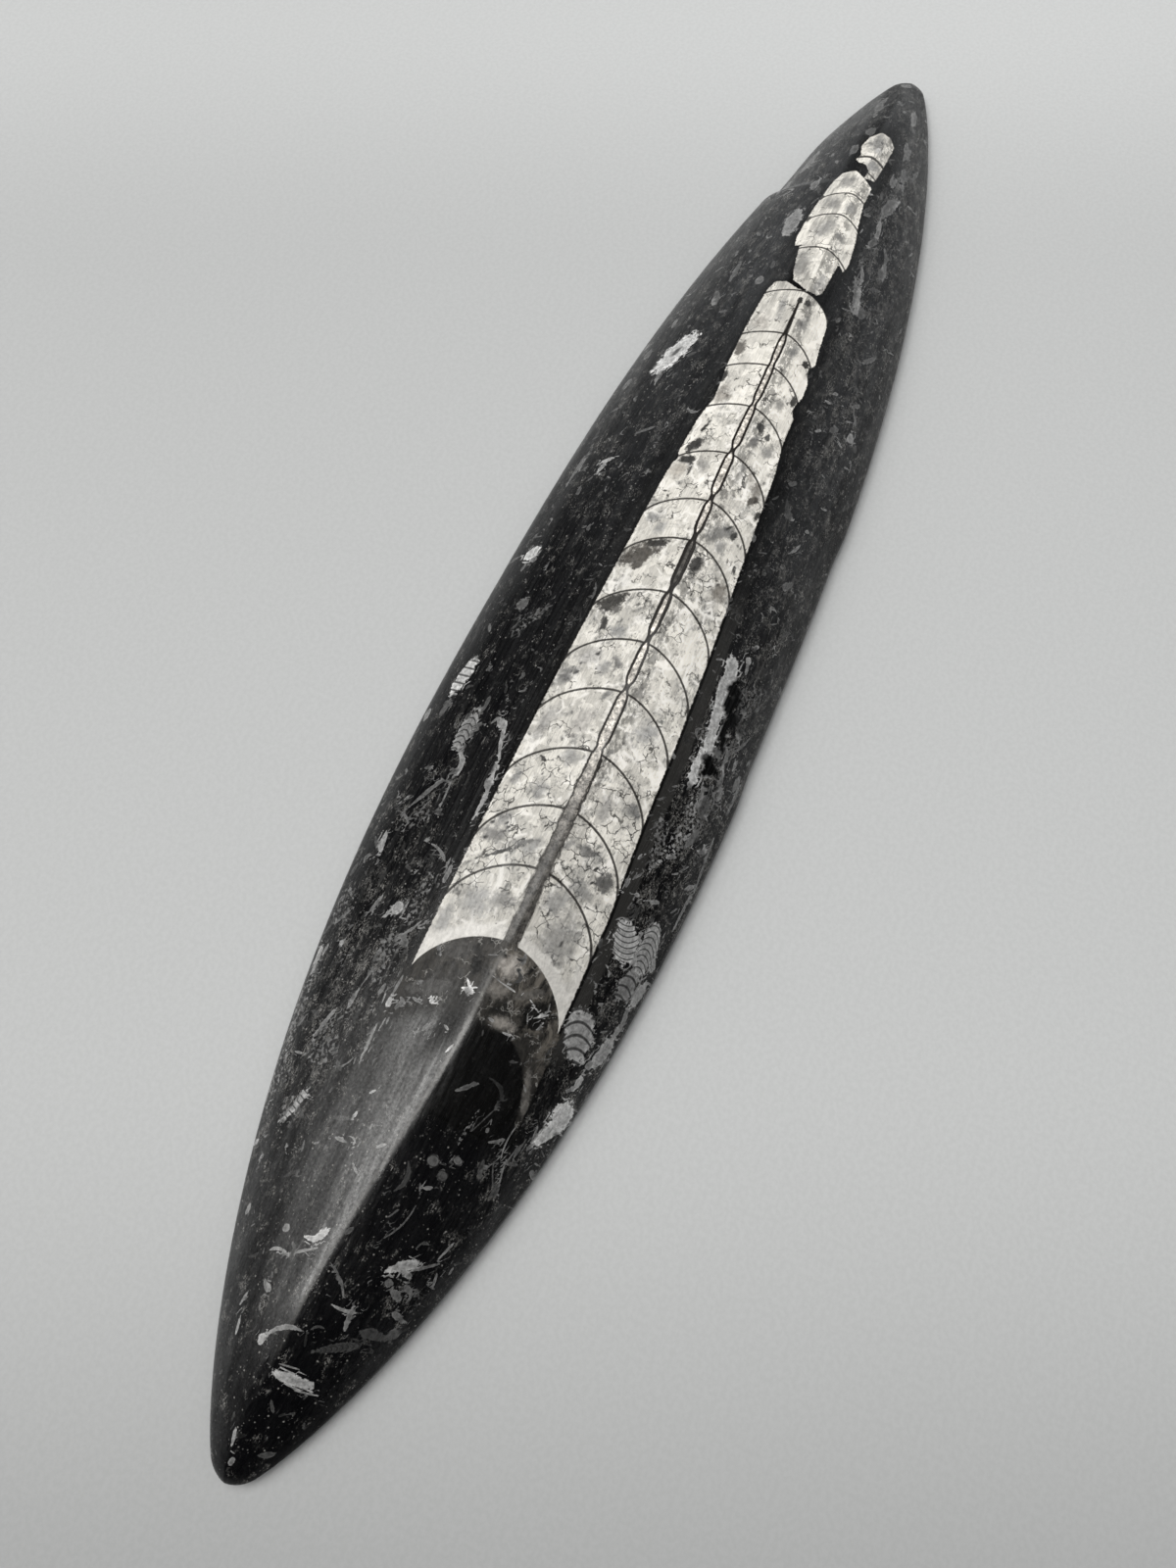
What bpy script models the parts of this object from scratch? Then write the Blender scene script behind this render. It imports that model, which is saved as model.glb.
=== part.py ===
"""A polished orthoceras fossil stone: one long spindle of black limestone with a flat sawn base.

The top is ground to a rounded keel that follows the fossil shell inside the stone, the flanks fall away from
it to a rounded rim, and both ends close in blunt noses. Metres, +Z up, +X towards the shell's narrow end,
origin in the middle of the flat base.
"""

import bmesh
import bpy
import math

MM = 0.001

# Driving dimensions
LENGTH = 297.0 * MM
HALF_LENGTH = LENGTH / 2
HALF_WIDTH = 27.95 * MM        # before the two ends are made unequal
OUTLINE_POWER = 2.52           # how long the sides stay nearly parallel
OUTLINE_ROOT = 0.815           # how bluntly they close at the ends
BROAD_END = 0.127              # share by which the -X half is fuller than the +X half
BOW = 0.35 * MM                # how far the whole outline is bowed towards +Y halfway
CREST_MIDDLE = 19.0 * MM       # height of the keel halfway
CREST_END = 6.5 * MM           # height that the keel falls to at an end, before the nose is rounded off
CREST_UNEQUAL = 1.5 * MM       # the -X end is higher by this, and the +X end lower
CREST_POWER = 2.2
CREST_ROOT = 0.9
RIM_HEIGHT = 2.0 * MM          # where the stone is widest
UNDERCUT = 1.0 * MM            # how far the base stands in from the widest line
NOSE_ROLL = 30.0 * MM          # length over which the top rolls down at each end
FLANK_POWER = 1.25             # near 1 gives a sharp keel, 2 a round one
FLANK_ROOT = 0.70              # how steeply the flank meets the rim
KEEL_ROUND = 0.02              # rounding of the keel, as a share of a flank's width

# Each nose is fuller than the plain outline, as (fullness, length over which that fades), and ends in a cap
NOSE_BROAD = (1.7 * MM, 20.0 * MM)
NOSE_NARROW = (2.0 * MM, 36.0 * MM)
NOSE_CAP = 2.2 * MM

# The keel's sideways course, as (x, y): it follows the shell, which doesn't lie quite in the middle
KEEL_ROUTE = [
    (-148.5 * MM, 0.9 * MM),
    (-122.0 * MM, -0.2 * MM),
    (-78.0 * MM, -4.8 * MM),
    (-35.0 * MM, -5.2 * MM),
    (10.0 * MM, -4.1 * MM),
    (50.0 * MM, -2.3 * MM),
    (100.0 * MM, -1.2 * MM),
    (148.5 * MM, 0.0 * MM),
]
KEEL_FADE_WIDTH = 8.0 * MM     # half-width below which the keel is drawn to the middle of the nose

# Wear on the rim: (side, start, end, depth, step length). A flake came off the +Y rim, and the -Y rim has a flat.
RIM_FLAKE = (+1, 103.0 * MM, 126.0 * MM, 1.25 * MM, 2.0 * MM)
RIM_FLAT = (-1, -27.0 * MM, 34.0 * MM, 0.45 * MM, 9.0 * MM)

# Mesh density
STATIONS = 72
FLANK_STEPS = 11
UNDERCUT_STEPS = 3

STONE_NAME = "orthoceras_stone"
STONE_COLOUR = (0.018, 0.018, 0.020, 1.0)
STONE_ROUGHNESS = 0.28


def clear_scene():
    for obj in list(bpy.data.objects):
        bpy.data.objects.remove(obj, do_unlink=True)


def smooth(t):
    """Smooth step from 0 to 1."""
    t = min(max(t, 0.0), 1.0)
    return t * t * (3 - 2 * t)


def keel_y(x):
    """The keel's sideways place: smooth steps between the points of its route."""
    for (x0, y0), (x1, y1) in zip(KEEL_ROUTE, KEEL_ROUTE[1:]):
        if x <= x1:
            return y0 + (y1 - y0) * (0.5 * smooth((x - x0) / (x1 - x0)) + 0.5 * (x - x0) / (x1 - x0))
    return KEEL_ROUTE[-1][1]


def rim_wear(x, side):
    """How far the rim stands in from the outline's formula, where stone has come off."""
    flake_side, start, end, depth, step = RIM_FLAKE
    if side == flake_side:
        healing = 1 - smooth((x - start - step) / (end - start - step))
        return depth * smooth((x - start) / step) * healing
    _, start, end, depth, step = RIM_FLAT
    return depth * smooth((x - start) / step) * (1 - smooth((x - end + step) / step))


def rim_y(x, side):
    """Place of the widest line: a superellipse, fuller at the -X end and at both noses, on a bowed middle line."""
    share = min(abs(x) / HALF_LENGTH, 1.0)
    to_end = HALF_LENGTH - abs(x)
    plain = HALF_WIDTH * (1 - share ** OUTLINE_POWER) ** OUTLINE_ROOT * (1 - BROAD_END * x / HALF_LENGTH)
    fullness, fade = NOSE_BROAD if x < 0 else NOSE_NARROW
    nose = fullness * roll(to_end, NOSE_CAP) * math.exp(-to_end / fade)
    return side * max(plain + nose - rim_wear(x, side), 0.0) + BOW * (1 - share ** 2) ** 2


def roll(distance, length):
    """Quarter circle: 0 at an end, 1 once length away from it."""
    q = min(max(1 - distance / length, 0.0), 1.0)
    return math.sqrt(1 - q * q)


def crest_z(x):
    """Height of the keel above the rim's widest line."""
    share = abs(x) / HALF_LENGTH
    end = CREST_END - CREST_UNEQUAL * x / HALF_LENGTH
    height = end + (CREST_MIDDLE - end) * (1 - share ** CREST_POWER) ** CREST_ROOT
    return (height - RIM_HEIGHT) * roll(HALF_LENGTH - abs(x), NOSE_ROLL)


def flank_share(v):
    """Height over the flank, from 1 on the keel (v = 0) to 0 at the rim (v = 1)."""
    rounded = (math.sqrt(v * v + KEEL_ROUND ** 2) - KEEL_ROUND) / (math.sqrt(1 + KEEL_ROUND ** 2) - KEEL_ROUND)
    return max(1 - rounded ** FLANK_POWER, 0.0) ** FLANK_ROOT


def flank_steps():
    """Shares across a flank, close together at the keel and at the rim."""
    return [(1 - math.cos(math.pi * i / FLANK_STEPS)) / 2 for i in range(FLANK_STEPS + 1)]


def section(x):
    """One ring of the stone at x, from the +Y foot over the keel to the -Y foot."""
    left = rim_y(x, +1)
    right = rim_y(x, -1)
    half_width = (left - right) / 2
    centre = keel_y(x) * min(half_width / KEEL_FADE_WIDTH, 1.0)
    height = crest_z(x)
    base_lift = RIM_HEIGHT * (1 - roll(HALF_LENGTH - abs(x), UNDERCUT))
    inset = UNDERCUT * min(half_width / (4 * UNDERCUT), 1.0)
    steps = flank_steps()
    over_left = [
        (centre + (left - centre) * v, RIM_HEIGHT + height * flank_share(v)) for v in reversed(steps)
    ]
    over_right = [
        (centre + (right - centre) * v, RIM_HEIGHT + height * flank_share(v)) for v in steps[1:]
    ]
    under = []
    for i in range(UNDERCUT_STEPS):
        turn = math.pi / 2 * i / UNDERCUT_STEPS
        in_from_rim = inset * (1 - math.sin(turn))
        up = base_lift + (RIM_HEIGHT - base_lift) * (1 - math.cos(turn))
        under.append((in_from_rim, up))
    foot_left = [(left - d, z) for d, z in under]
    foot_right = [(right + d, z) for d, z in reversed(under)]
    return [(x, y, z) for y, z in foot_left + over_left + over_right + foot_right]


def stations():
    """Places of the rings along X: close together at the noses and at the ends of the worn rim."""
    places = [-HALF_LENGTH * math.cos(math.pi * i / STATIONS) for i in range(1, STATIONS)]
    _, start, _, _, step = RIM_FLAKE
    places += [start, start + step / 2, start + step]
    return sorted(places)


def make_stone():
    """Skins the rings into one closed solid with a pole at each nose and a flat base."""
    bm = bmesh.new()
    rings = [[bm.verts.new(point) for point in section(x)] for x in stations()]
    for ring, following in zip(rings, rings[1:]):
        for i in range(len(ring)):
            j = (i + 1) % len(ring)
            bm.faces.new((ring[i], ring[j], following[j], following[i]))
    for ring, end in ((rings[0], -1), (rings[-1], +1)):
        x = end * HALF_LENGTH
        pole = bm.verts.new((x, 0.0, RIM_HEIGHT))
        for i in range(len(ring)):
            j = (i + 1) % len(ring)
            corners = (pole, ring[j], ring[i]) if end < 0 else (pole, ring[i], ring[j])
            bm.faces.new(corners)
    bmesh.ops.triangulate(bm, faces=bm.faces[:])
    bmesh.ops.recalc_face_normals(bm, faces=bm.faces[:])
    mesh = bpy.data.meshes.new(STONE_NAME)
    bm.to_mesh(mesh)
    bm.free()
    mesh.shade_smooth()
    stone = bpy.data.objects.new(STONE_NAME, mesh)
    bpy.context.scene.collection.objects.link(stone)
    return stone


def stone_material():
    material = bpy.data.materials.new("polished_black_limestone")
    material.use_nodes = True
    shader = material.node_tree.nodes["Principled BSDF"]
    shader.inputs["Base Color"].default_value = STONE_COLOUR
    shader.inputs["Roughness"].default_value = STONE_ROUGHNESS
    shader.inputs["Metallic"].default_value = 0.0
    return material


clear_scene()
make_stone().data.materials.append(stone_material())
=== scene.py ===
"""Dresses the polished orthoceras fossil stone and sets it on a pale studio floor.

The stone is one closed surface, worked out on a grid of stations along X and steps round each section. It
carries smooth fields, such as the place along the shell's chambers or across its tube, and the polished
limestone's shader draws the shell, its walls, the small fossils and the rock from them. Lengths are in
millimetres until a mesh, a lamp or the camera is made. Turns in the lists are in degrees.
"""
import math
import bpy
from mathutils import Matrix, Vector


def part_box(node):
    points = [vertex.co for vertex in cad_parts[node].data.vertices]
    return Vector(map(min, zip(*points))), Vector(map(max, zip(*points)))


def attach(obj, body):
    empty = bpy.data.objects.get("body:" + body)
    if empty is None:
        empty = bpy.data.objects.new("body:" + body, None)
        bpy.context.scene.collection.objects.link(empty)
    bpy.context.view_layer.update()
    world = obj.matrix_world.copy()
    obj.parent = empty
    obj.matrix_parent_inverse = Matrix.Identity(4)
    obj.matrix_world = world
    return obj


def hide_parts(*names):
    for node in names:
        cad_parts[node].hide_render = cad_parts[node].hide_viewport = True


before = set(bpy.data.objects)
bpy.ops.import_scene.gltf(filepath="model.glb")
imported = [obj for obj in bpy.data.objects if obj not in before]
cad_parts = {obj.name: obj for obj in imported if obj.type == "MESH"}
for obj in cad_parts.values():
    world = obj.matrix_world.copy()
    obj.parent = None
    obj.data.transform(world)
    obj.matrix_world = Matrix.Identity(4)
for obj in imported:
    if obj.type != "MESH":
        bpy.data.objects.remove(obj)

from types import SimpleNamespace

import bpy
import numpy as np
from mathutils import Vector

bl_info = {
    "name": "Orthoceras fossil stone",
    "version": (1, 0, 0),
    "blender": (4, 5, 0),
    "location": "3D View > Sidebar > Fossil",
    "description": "Builds a polished spindle of black limestone with a chambered calcite shell in it",
    "category": "Add Mesh",
}

MM = 0.001
STONE_NODE = "orthoceras_stone"
STONE_LOW, STONE_HIGH = (Vector(corner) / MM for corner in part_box(STONE_NODE))
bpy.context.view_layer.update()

# ---------------------------------------------------------------- the stone's form, as the solid has it

HALF_LENGTH = (STONE_HIGH.x - STONE_LOW.x) / 2
CREST_MIDDLE = STONE_HIGH.z
HALF_WIDTH = 27.95
OUTLINE_POWER = 2.52
OUTLINE_ROOT = 0.815
BROAD_END = 0.127
BOW = 0.35
CREST_END = 6.5
CREST_UNEQUAL = 1.5
CREST_POWER = 2.2
CREST_ROOT = 0.9
RIM_HEIGHT = 2.0
UNDERCUT = 1.0
NOSE_ROLL = 30.0
NOSE_BROAD = (1.7, 20.0)
NOSE_NARROW = (2.0, 36.0)
NOSE_CAP = 2.2
FLANK_POWER = 1.25
FLANK_ROOT = 0.70
KEEL_ROUND = 0.02
KEEL_ROUTE = [
    (-148.5, 0.9), (-122.0, -0.2), (-78.0, -4.8), (-35.0, -5.2), (10.0, -4.1), (50.0, -2.3), (100.0, -1.2),
    (148.5, 0.0),
]
KEEL_FADE_WIDTH = 8.0
# Where stone has come off the rim, as (side, start, end, depth, length of the step into it)
RIM_FLAKE = (+1, 103.0, 126.0, 1.25, 2.0)
RIM_FLAT = (-1, -27.0, 34.0, 0.45, 9.0)

# The mesh's own steps: rings along X, and points round each ring
STATIONS = 620
CROWDED_AT_NOSES = 0.35
NOSE_RINGS = 4
FIRST_NOSE_RING = 0.12
NOSE_RING_POWER = 1.6
FLANK_STEPS = 66
CROWDED_AT_EDGES = 0.45
UNDERCUT_STEPS = 6
BASE_STEPS = 8

# ---------------------------------------------------------------- the shell in the stone, in plan

# Where each wall between two chambers meets the tube, from the last chamber to the tip
SEPTA = [
    -65.5, -53.4, -43.0, -32.6, -21.3, -11.7, -1.6, 9.4, 17.9, 28.6, 39.8, 49.9, 58.2, 69.8, 82.4, 92.8,
    99.6, 107.6, 112.3,
]
# How far back each wall sweeps at the shell's +Y and -Y edges, and where those edges lie, as (x, value)
SWEEP_LEFT = [
    (-66.0, 9.2), (-53.0, 8.9), (-43.0, 7.7), (-21.0, 6.5), (0.0, 5.3), (18.0, 4.4), (30.0, 2.8),
    (58.0, 1.4), (84.0, 1.9), (120.0, 1.9),
]
SWEEP_RIGHT = [
    (-66.0, 8.9), (-53.0, 8.6), (-43.0, 7.6), (0.0, 6.6), (30.0, 5.4), (58.0, 4.4), (83.0, 3.2),
    (120.0, 1.8),
]
SWEEP_ROOT = 0.65
STEEPEST_WALL = 4.0
NEARLY_ALL = 0.999
EDGE_LEFT = [(-86.0, 7.5), (-45.0, 7.8), (-10.0, 7.4), (20.0, 6.6), (70.0, 5.4), (120.0, 3.2)]
EDGE_RIGHT = [(-86.0, -17.1), (-55.0, -16.9), (-10.0, -14.4), (20.0, -12.1), (66.0, -8.0), (120.0, -4.2)]
# The length that stands for one chamber before the first wall and past the last one
MOUTH_UNIT = 10.0
TIP_UNIT = 12.0

# The tube's middle, half width and the half width of its dark lining, as (x, value) points
TUBE_ROUTE = [
    (-80.0, -5.2), (-65.0, -5.4), (-53.0, -5.2), (-43.0, -5.1), (-36.0, -4.95), (-25.0, -4.75),
    (-15.0, -4.4), (-5.0, -4.15), (5.0, -3.95), (15.0, -3.55), (25.0, -3.15), (35.0, -2.85), (46.0, -2.6),
    (55.0, -2.2), (63.0, -1.8), (68.0, -1.5), (83.0, -0.5), (120.0, -0.8),
]
TUBE_HALF = [
    (-66.0, 1.2), (-45.0, 1.1), (-34.0, 0.98), (-22.0, 0.8), (-13.0, 0.62), (5.0, 0.58), (14.0, 0.62),
    (23.0, 0.74), (31.0, 0.72), (37.0, 0.62), (47.0, 0.56), (56.0, 0.58), (60.0, 0.25), (63.0, 0.1),
    (66.8, 0.0), (68.5, -2.0),
]
TUBE_LINING = [
    (-66.0, 0.12), (-45.0, 0.16), (-34.0, 0.20), (-12.0, 0.22), (-5.0, 0.30), (10.0, 0.30), (16.0, 0.22),
    (60.0, 0.20),
]
# How light the tube's filling is, as the eye reads it
TUBE_FILL = [
    (-66.0, 0.27), (-50.0, 0.29), (-45.0, 0.44), (-38.0, 0.56), (-30.0, 0.76), (-4.0, 0.80), (0.0, 0.30),
    (8.0, 0.28), (11.0, 0.76), (56.0, 0.80), (60.0, 0.30),
]
TUBE_HUE = (1.0, 0.94, 0.86)
# How tightly the tube is pinched just past each wall, from 0 to 1
TUBE_PINCH = [
    (-66.0, 0.0), (-53.0, 0.0), (-43.0, 0.1), (-32.6, 0.45), (-21.3, 0.84), (9.4, 0.90), (28.6, 0.75),
    (39.8, 0.5), (49.9, 0.3), (58.2, 0.9),
]
PINCHED_WALLS = SEPTA[1:13]
PINCH_BEYOND = 1.0
PINCH_LENGTH = 1.2

SHELL_PIECES = {
    "cone": [
        (-92.0, 7.3), (-60.0, 7.6), (-45.0, 7.7), (-25.0, 7.6), (-10.0, 7.3), (5.0, 6.9), (20.0, 6.5),
        (24.6, 6.2), (25.8, 5.6), (27.3, 6.1), (35.0, 5.7), (38.0, 5.2), (40.0, 4.7), (43.0, 4.8),
        (48.0, 5.4), (58.0, 5.7), (66.0, 5.5), (69.5, 5.3), (71.7, 4.6), (71.9, 2.6), (70.4, 0.2),
        (69.7, -2.0), (69.3, -4.0), (68.4, -6.0), (66.6, -7.9), (59.0, -8.8), (55.6, -9.3), (54.2, -8.5),
        (52.6, -8.7), (51.2, -9.5), (47.6, -9.7), (45.6, -9.2), (43.8, -9.1), (42.6, -9.9), (36.5, -10.2),
        (30.0, -11.2), (20.0, -12.0), (10.0, -12.8), (0.0, -13.6), (-10.0, -14.4), (-25.0, -15.3),
        (-40.0, -15.9), (-55.0, -16.9), (-92.0, -17.0),
    ],
    "first_fragment": [
        (70.3, -4.0), (71.5, -4.7), (80.3, -4.9), (81.4, -4.0), (82.3, -1.0), (82.8, 2.5), (82.0, 3.6),
        (78.0, 2.9), (75.0, 2.3), (72.4, 1.4), (71.0, -0.6), (70.2, -2.0),
    ],
    "second_fragment": [
        (79.3, -6.4), (82.0, -6.6), (88.0, -5.9), (92.0, -5.0), (98.0, -4.0), (104.0, -3.9), (105.3, -1.7),
        (107.6, 1.0), (106.4, 3.0), (103.5, 3.9), (100.0, 4.3), (95.0, 4.8), (90.0, 5.1), (85.0, 5.1),
        (82.4, 4.6), (82.8, 2.5), (82.3, -1.0), (81.4, -4.0),
    ],
    "third_fragment": [
        (105.5, -1.7), (106.3, -3.8), (112.6, -4.0), (112.6, -0.5), (112.9, 1.3), (111.5, 1.9), (110.3, 1.0),
        (109.7, -0.7), (108.0, -1.8),
    ],
    "last_fragment": [
        (112.0, -4.0), (119.3, -4.0), (121.2, -2.6), (121.4, -0.4), (119.6, 1.4), (116.5, 2.2), (112.9, 1.3),
    ],
}

# Mud that hardened in the last, open chamber
MUD_OUTLINE = [
    (-60.0, 7.9), (-83.0, 8.2), (-81.5, 5.0), (-79.5, 1.0), (-77.8, -2.5), (-77.6, -6.0), (-77.7, -11.0),
    (-79.8, -13.6), (-83.0, -15.5), (-91.0, -17.4), (-60.0, -17.4),
]

# Stains and dark crystals in the calcite, by chamber, as (x, y, half length, half width, turn, tone, brown).
# A stain stops at its own chamber's walls. Those under -1 have no chamber, and those under -2 lie in mud.
STAINS = {
    0: [
        (-62.0, -12.0, 1.3, 0.9, 0, 0.20, 0.0), (-62.0, -11.5, 4.2, 2.4, -15, 0.50, 0.1),
        (-61.5, 2.5, 2.4, 2.0, 30, 0.50, 0.0), (-60.0, -1.5, 1.2, 2.4, 0, 0.46, 0.1),
        (-66.0, 6.0, 3.0, 1.0, 0, 0.55, 0.0), (-56.5, -9.0, 2.4, 1.7, -20, 0.50, 0.0),
        (-69.5, -14.5, 3.4, 1.0, -25, 0.52, 0.0), (-66.0, -9.5, 1.6, 1.0, 20, 0.66, 0.1),
    ],
    1: [
        (-50.5, 4.8, 1.3, 2.4, 0, 0.42, 0.1), (-50.0, -1.0, 0.4, 2.6, 25, 0.36, 0.0),
        (-47.5, 4.5, 1.6, 0.8, -20, 0.48, 0.0), (-50.5, -2.0, 1.9, 0.9, -25, 0.52, 0.0),
        (-53.0, 2.6, 0.3, 3.6, 35, 0.24, 0.0), (-49.0, 2.8, 0.14, 2.2, -50, 0.14, 0.0),
        (-48.5, 5.6, 0.14, 1.8, 30, 0.14, 0.0), (-51.5, 5.5, 0.13, 1.5, -20, 0.14, 0.0),
        (-47.0, 0.5, 0.13, 1.6, 50, 0.16, 0.0), (-47.5, -10.0, 0.9, 2.1, 0, 0.40, 0.0),
        (-50.4, -14.0, 1.5, 1.4, 0, 0.32, 0.0), (-49.0, -12.4, 0.14, 2.0, 40, 0.14, 0.0),
        (-51.5, -12.6, 0.14, 1.7, -30, 0.14, 0.0), (-47.8, -7.0, 1.5, 0.6, -35, 0.50, 0.0),
        (-53.5, -11.5, 1.4, 1.8, -30, 0.46, 0.0),
    ],
    2: [
        (-36.3, 2.8, 1.1, 0.35, 55, 0.18, 0.2), (-41.2, 4.5, 0.18, 1.9, -5, 0.10, 0.0),
        (-38.8, 1.8, 1.3, 0.16, 25, 0.22, 0.0), (-41.8, -0.9, 1.7, 0.16, 50, 0.16, 0.0),
        (-34.6, -1.3, 1.5, 1.3, -40, 0.50, 0.0), (-41.5, 1.0, 1.7, 1.0, -10, 0.52, 0.0),
        (-40.5, 5.8, 1.5, 0.7, -10, 0.44, 0.0), (-38.0, -13.5, 1.6, 1.0, -35, 0.44, 0.0),
        (-40.3, -9.7, 2.0, 1.0, 5, 0.62, 0.2),
    ],
    3: [
        (-30.0, 5.5, 3.2, 1.0, -10, 0.60, 0.2), (-22.6, -2.0, 1.0, 0.5, -40, 0.42, 0.0),
        (-28.4, -0.3, 2.6, 1.4, -10, 0.64, 0.3), (-32.0, 5.0, 1.2, 0.16, 30, 0.30, 0.0),
        (-25.5, -10.5, 2.4, 1.6, -30, 0.62, 0.0),
    ],
    4: [
        (-16.8, 3.9, 2.0, 1.6, -65, 0.60, 0.2), (-21.2, 5.9, 1.8, 1.0, -25, 0.42, 0.0),
        (-20.4, 4.9, 2.2, 0.14, -55, 0.24, 0.0), (-16.4, -1.1, 1.6, 0.7, 50, 0.40, 0.0),
        (-15.9, 2.6, 0.5, 0.5, 0, 0.20, 0.0), (-18.5, 4.8, 0.8, 0.14, -55, 0.14, 0.0),
        (-18.0, 0.5, 1.2, 0.9, 0, 0.52, 0.0),
    ],
    5: [
        (-5.6, 4.4, 2.8, 1.5, -50, 0.20, 0.5), (-7.0, 3.2, 1.2, 0.8, 0, 0.32, 0.3),
        (-10.1, 4.0, 1.7, 0.6, 15, 0.20, 0.1), (-2.2, -9.4, 0.5, 0.2, 75, 0.12, 0.0),
        (-11.0, 1.0, 1.2, 1.6, 0, 0.55, 0.0),
    ],
    6: [
        (4.6, 3.8, 3.4, 2.0, -50, 0.28, 0.8), (7.2, 2.0, 2.2, 1.0, -60, 0.14, 0.4),
        (2.3, 3.5, 1.2, 0.9, -70, 0.28, 0.7), (5.4, -5.9, 2.0, 1.0, -10, 0.24, 0.1),
        (0.3, -7.3, 1.4, 0.14, 0, 0.10, 0.0), (3.6, -11.2, 2.0, 1.2, -5, 0.43, 0.8),
        (4.6, -10.6, 0.9, 0.3, 40, 0.24, 0.6),
    ],
    7: [
        (13.4, -7.5, 3.0, 1.3, -30, 0.42, 0.0), (15.2, -8.3, 1.1, 0.18, -30, 0.13, 0.0),
        (14.3, -9.5, 1.0, 0.4, -10, 0.22, 0.0), (8.8, -11.9, 0.9, 0.3, 5, 0.25, 0.0),
        (12.4, 4.6, 0.9, 1.1, 0, 0.50, 0.0), (10.5, 2.6, 1.3, 0.9, 0, 0.56, 0.0),
        (11.0, -8.4, 1.2, 0.9, 0, 0.48, 0.0),
    ],
    8: [
        (25.8, 3.9, 1.0, 1.9, 15, 0.11, 0.2), (24.0, 2.7, 1.8, 0.3, 15, 0.12, 0.1),
        (23.4, 4.4, 1.9, 1.6, -25, 0.62, 0.7), (18.4, 5.0, 1.1, 0.25, 65, 0.28, 0.3),
        (25.0, 0.8, 1.6, 0.9, 30, 0.55, 0.2), (28.0, -5.9, 1.5, 0.8, -10, 0.44, 0.0),
        (29.7, -8.6, 1.0, 0.5, 5, 0.20, 0.0), (27.2, -8.1, 1.5, 0.8, -5, 0.62, 0.6),
        (25.5, -9.8, 2.1, 1.2, 0, 0.42, 0.8), (22.6, -9.8, 1.5, 0.6, -30, 0.28, 0.8),
        (20.6, -11.5, 1.2, 0.5, -10, 0.22, 0.3),
    ],
    9: [
        (33.3, 3.6, 1.7, 0.4, -8, 0.09, 0.0), (29.4, 3.8, 1.9, 1.0, -25, 0.14, 0.1),
        (36.5, -5.6, 1.2, 0.7, 5, 0.24, 0.0), (33.3, -5.7, 1.4, 0.7, -5, 0.40, 0.0),
        (39.2, -8.0, 0.25, 1.0, 0, 0.22, 0.0), (35.5, -7.4, 1.0, 0.4, 5, 0.28, 0.0),
        (33.0, -8.6, 1.2, 0.8, 0, 0.46, 0.0),
    ],
    10: [
        (40.8, 3.6, 1.6, 1.3, -60, 0.60, 0.6), (46.3, 5.0, 1.5, 0.7, 5, 0.18, 0.3),
        (42.2, 3.9, 1.6, 1.0, 0, 0.46, 0.7), (45.7, -8.7, 1.7, 0.5, 5, 0.20, 0.4),
        (48.6, -7.2, 1.6, 0.35, 5, 0.44, 0.3), (43.0, -6.6, 1.2, 0.8, 10, 0.50, 0.2),
    ],
    11: [
        (53.1, 4.7, 2.3, 0.9, 10, 0.34, 0.8), (54.6, -7.8, 0.9, 0.6, 0, 0.10, 0.0),
        (55.8, -4.8, 1.8, 0.8, 0, 0.46, 0.0),
    ],
    12: [
        (60.6, 3.4, 1.8, 1.2, 35, 0.60, 0.5), (62.4, -4.2, 1.7, 1.0, -15, 0.44, 0.0),
        (65.0, 1.0, 3.0, 0.7, 10, 0.50, 0.0), (67.4, -3.2, 0.8, 0.6, 0, 0.22, 0.0),
        (67.3, -1.6, 0.9, 0.6, 0, 0.12, 0.0),
    ],
    -1: [
        (77.0, 1.6, 4.4, 1.7, 8, 0.46, 0.1), (74.0, -3.6, 2.2, 0.8, -5, 0.66, 0.1),
        (88.0, 0.6, 2.8, 1.6, -20, 0.56, 0.1), (86.5, -3.0, 1.6, 1.0, 30, 0.48, 0.1),
        (96.2, 1.6, 1.8, 1.2, 20, 0.52, 0.1), (95.5, -2.0, 1.4, 1.0, 0, 0.58, 0.1),
        (103.5, 1.0, 2.0, 1.4, 0, 0.48, 0.1), (110.0, -2.0, 1.5, 1.2, 0, 0.56, 0.0),
        (117.6, -0.6, 2.6, 1.5, 0, 0.46, 0.0), (115.4, -1.6, 1.1, 0.7, 0, 0.74, 0.0),
    ],
    -2: [
        (-68.7, -7.0, 1.9, 1.5, -45, 0.66, 0.45), (-72.4, -6.9, 1.7, 1.2, -55, 0.46, 0.5),
        (-73.2, -13.2, 2.7, 1.8, -30, 0.11, 0.1), (-76.6, -9.2, 0.9, 1.8, 15, 0.55, 0.5),
        (-70.4, -2.2, 1.7, 0.9, 5, 0.06, 0.0), (-69.5, 2.0, 1.4, 2.2, 30, 0.26, 0.3),
        (-76.0, 3.0, 1.2, 3.4, 20, 0.28, 0.2), (-71.0, -11.0, 0.6, 2.4, 40, 0.36, 0.4),
        (-84.5, -16.6, 4.0, 0.5, 18, 0.40, 0.4),
    ],
}
# A stain is followed this far out, in its own sizes, and is cut off past its walls over a rough chamber length
CHAMBER_LENGTH = 8.0
STAIN_REACH = 9.0
STAIN_AT_WALL = 1.3
STAIN_CLEAR_OF_WALL = 0.4

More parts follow.
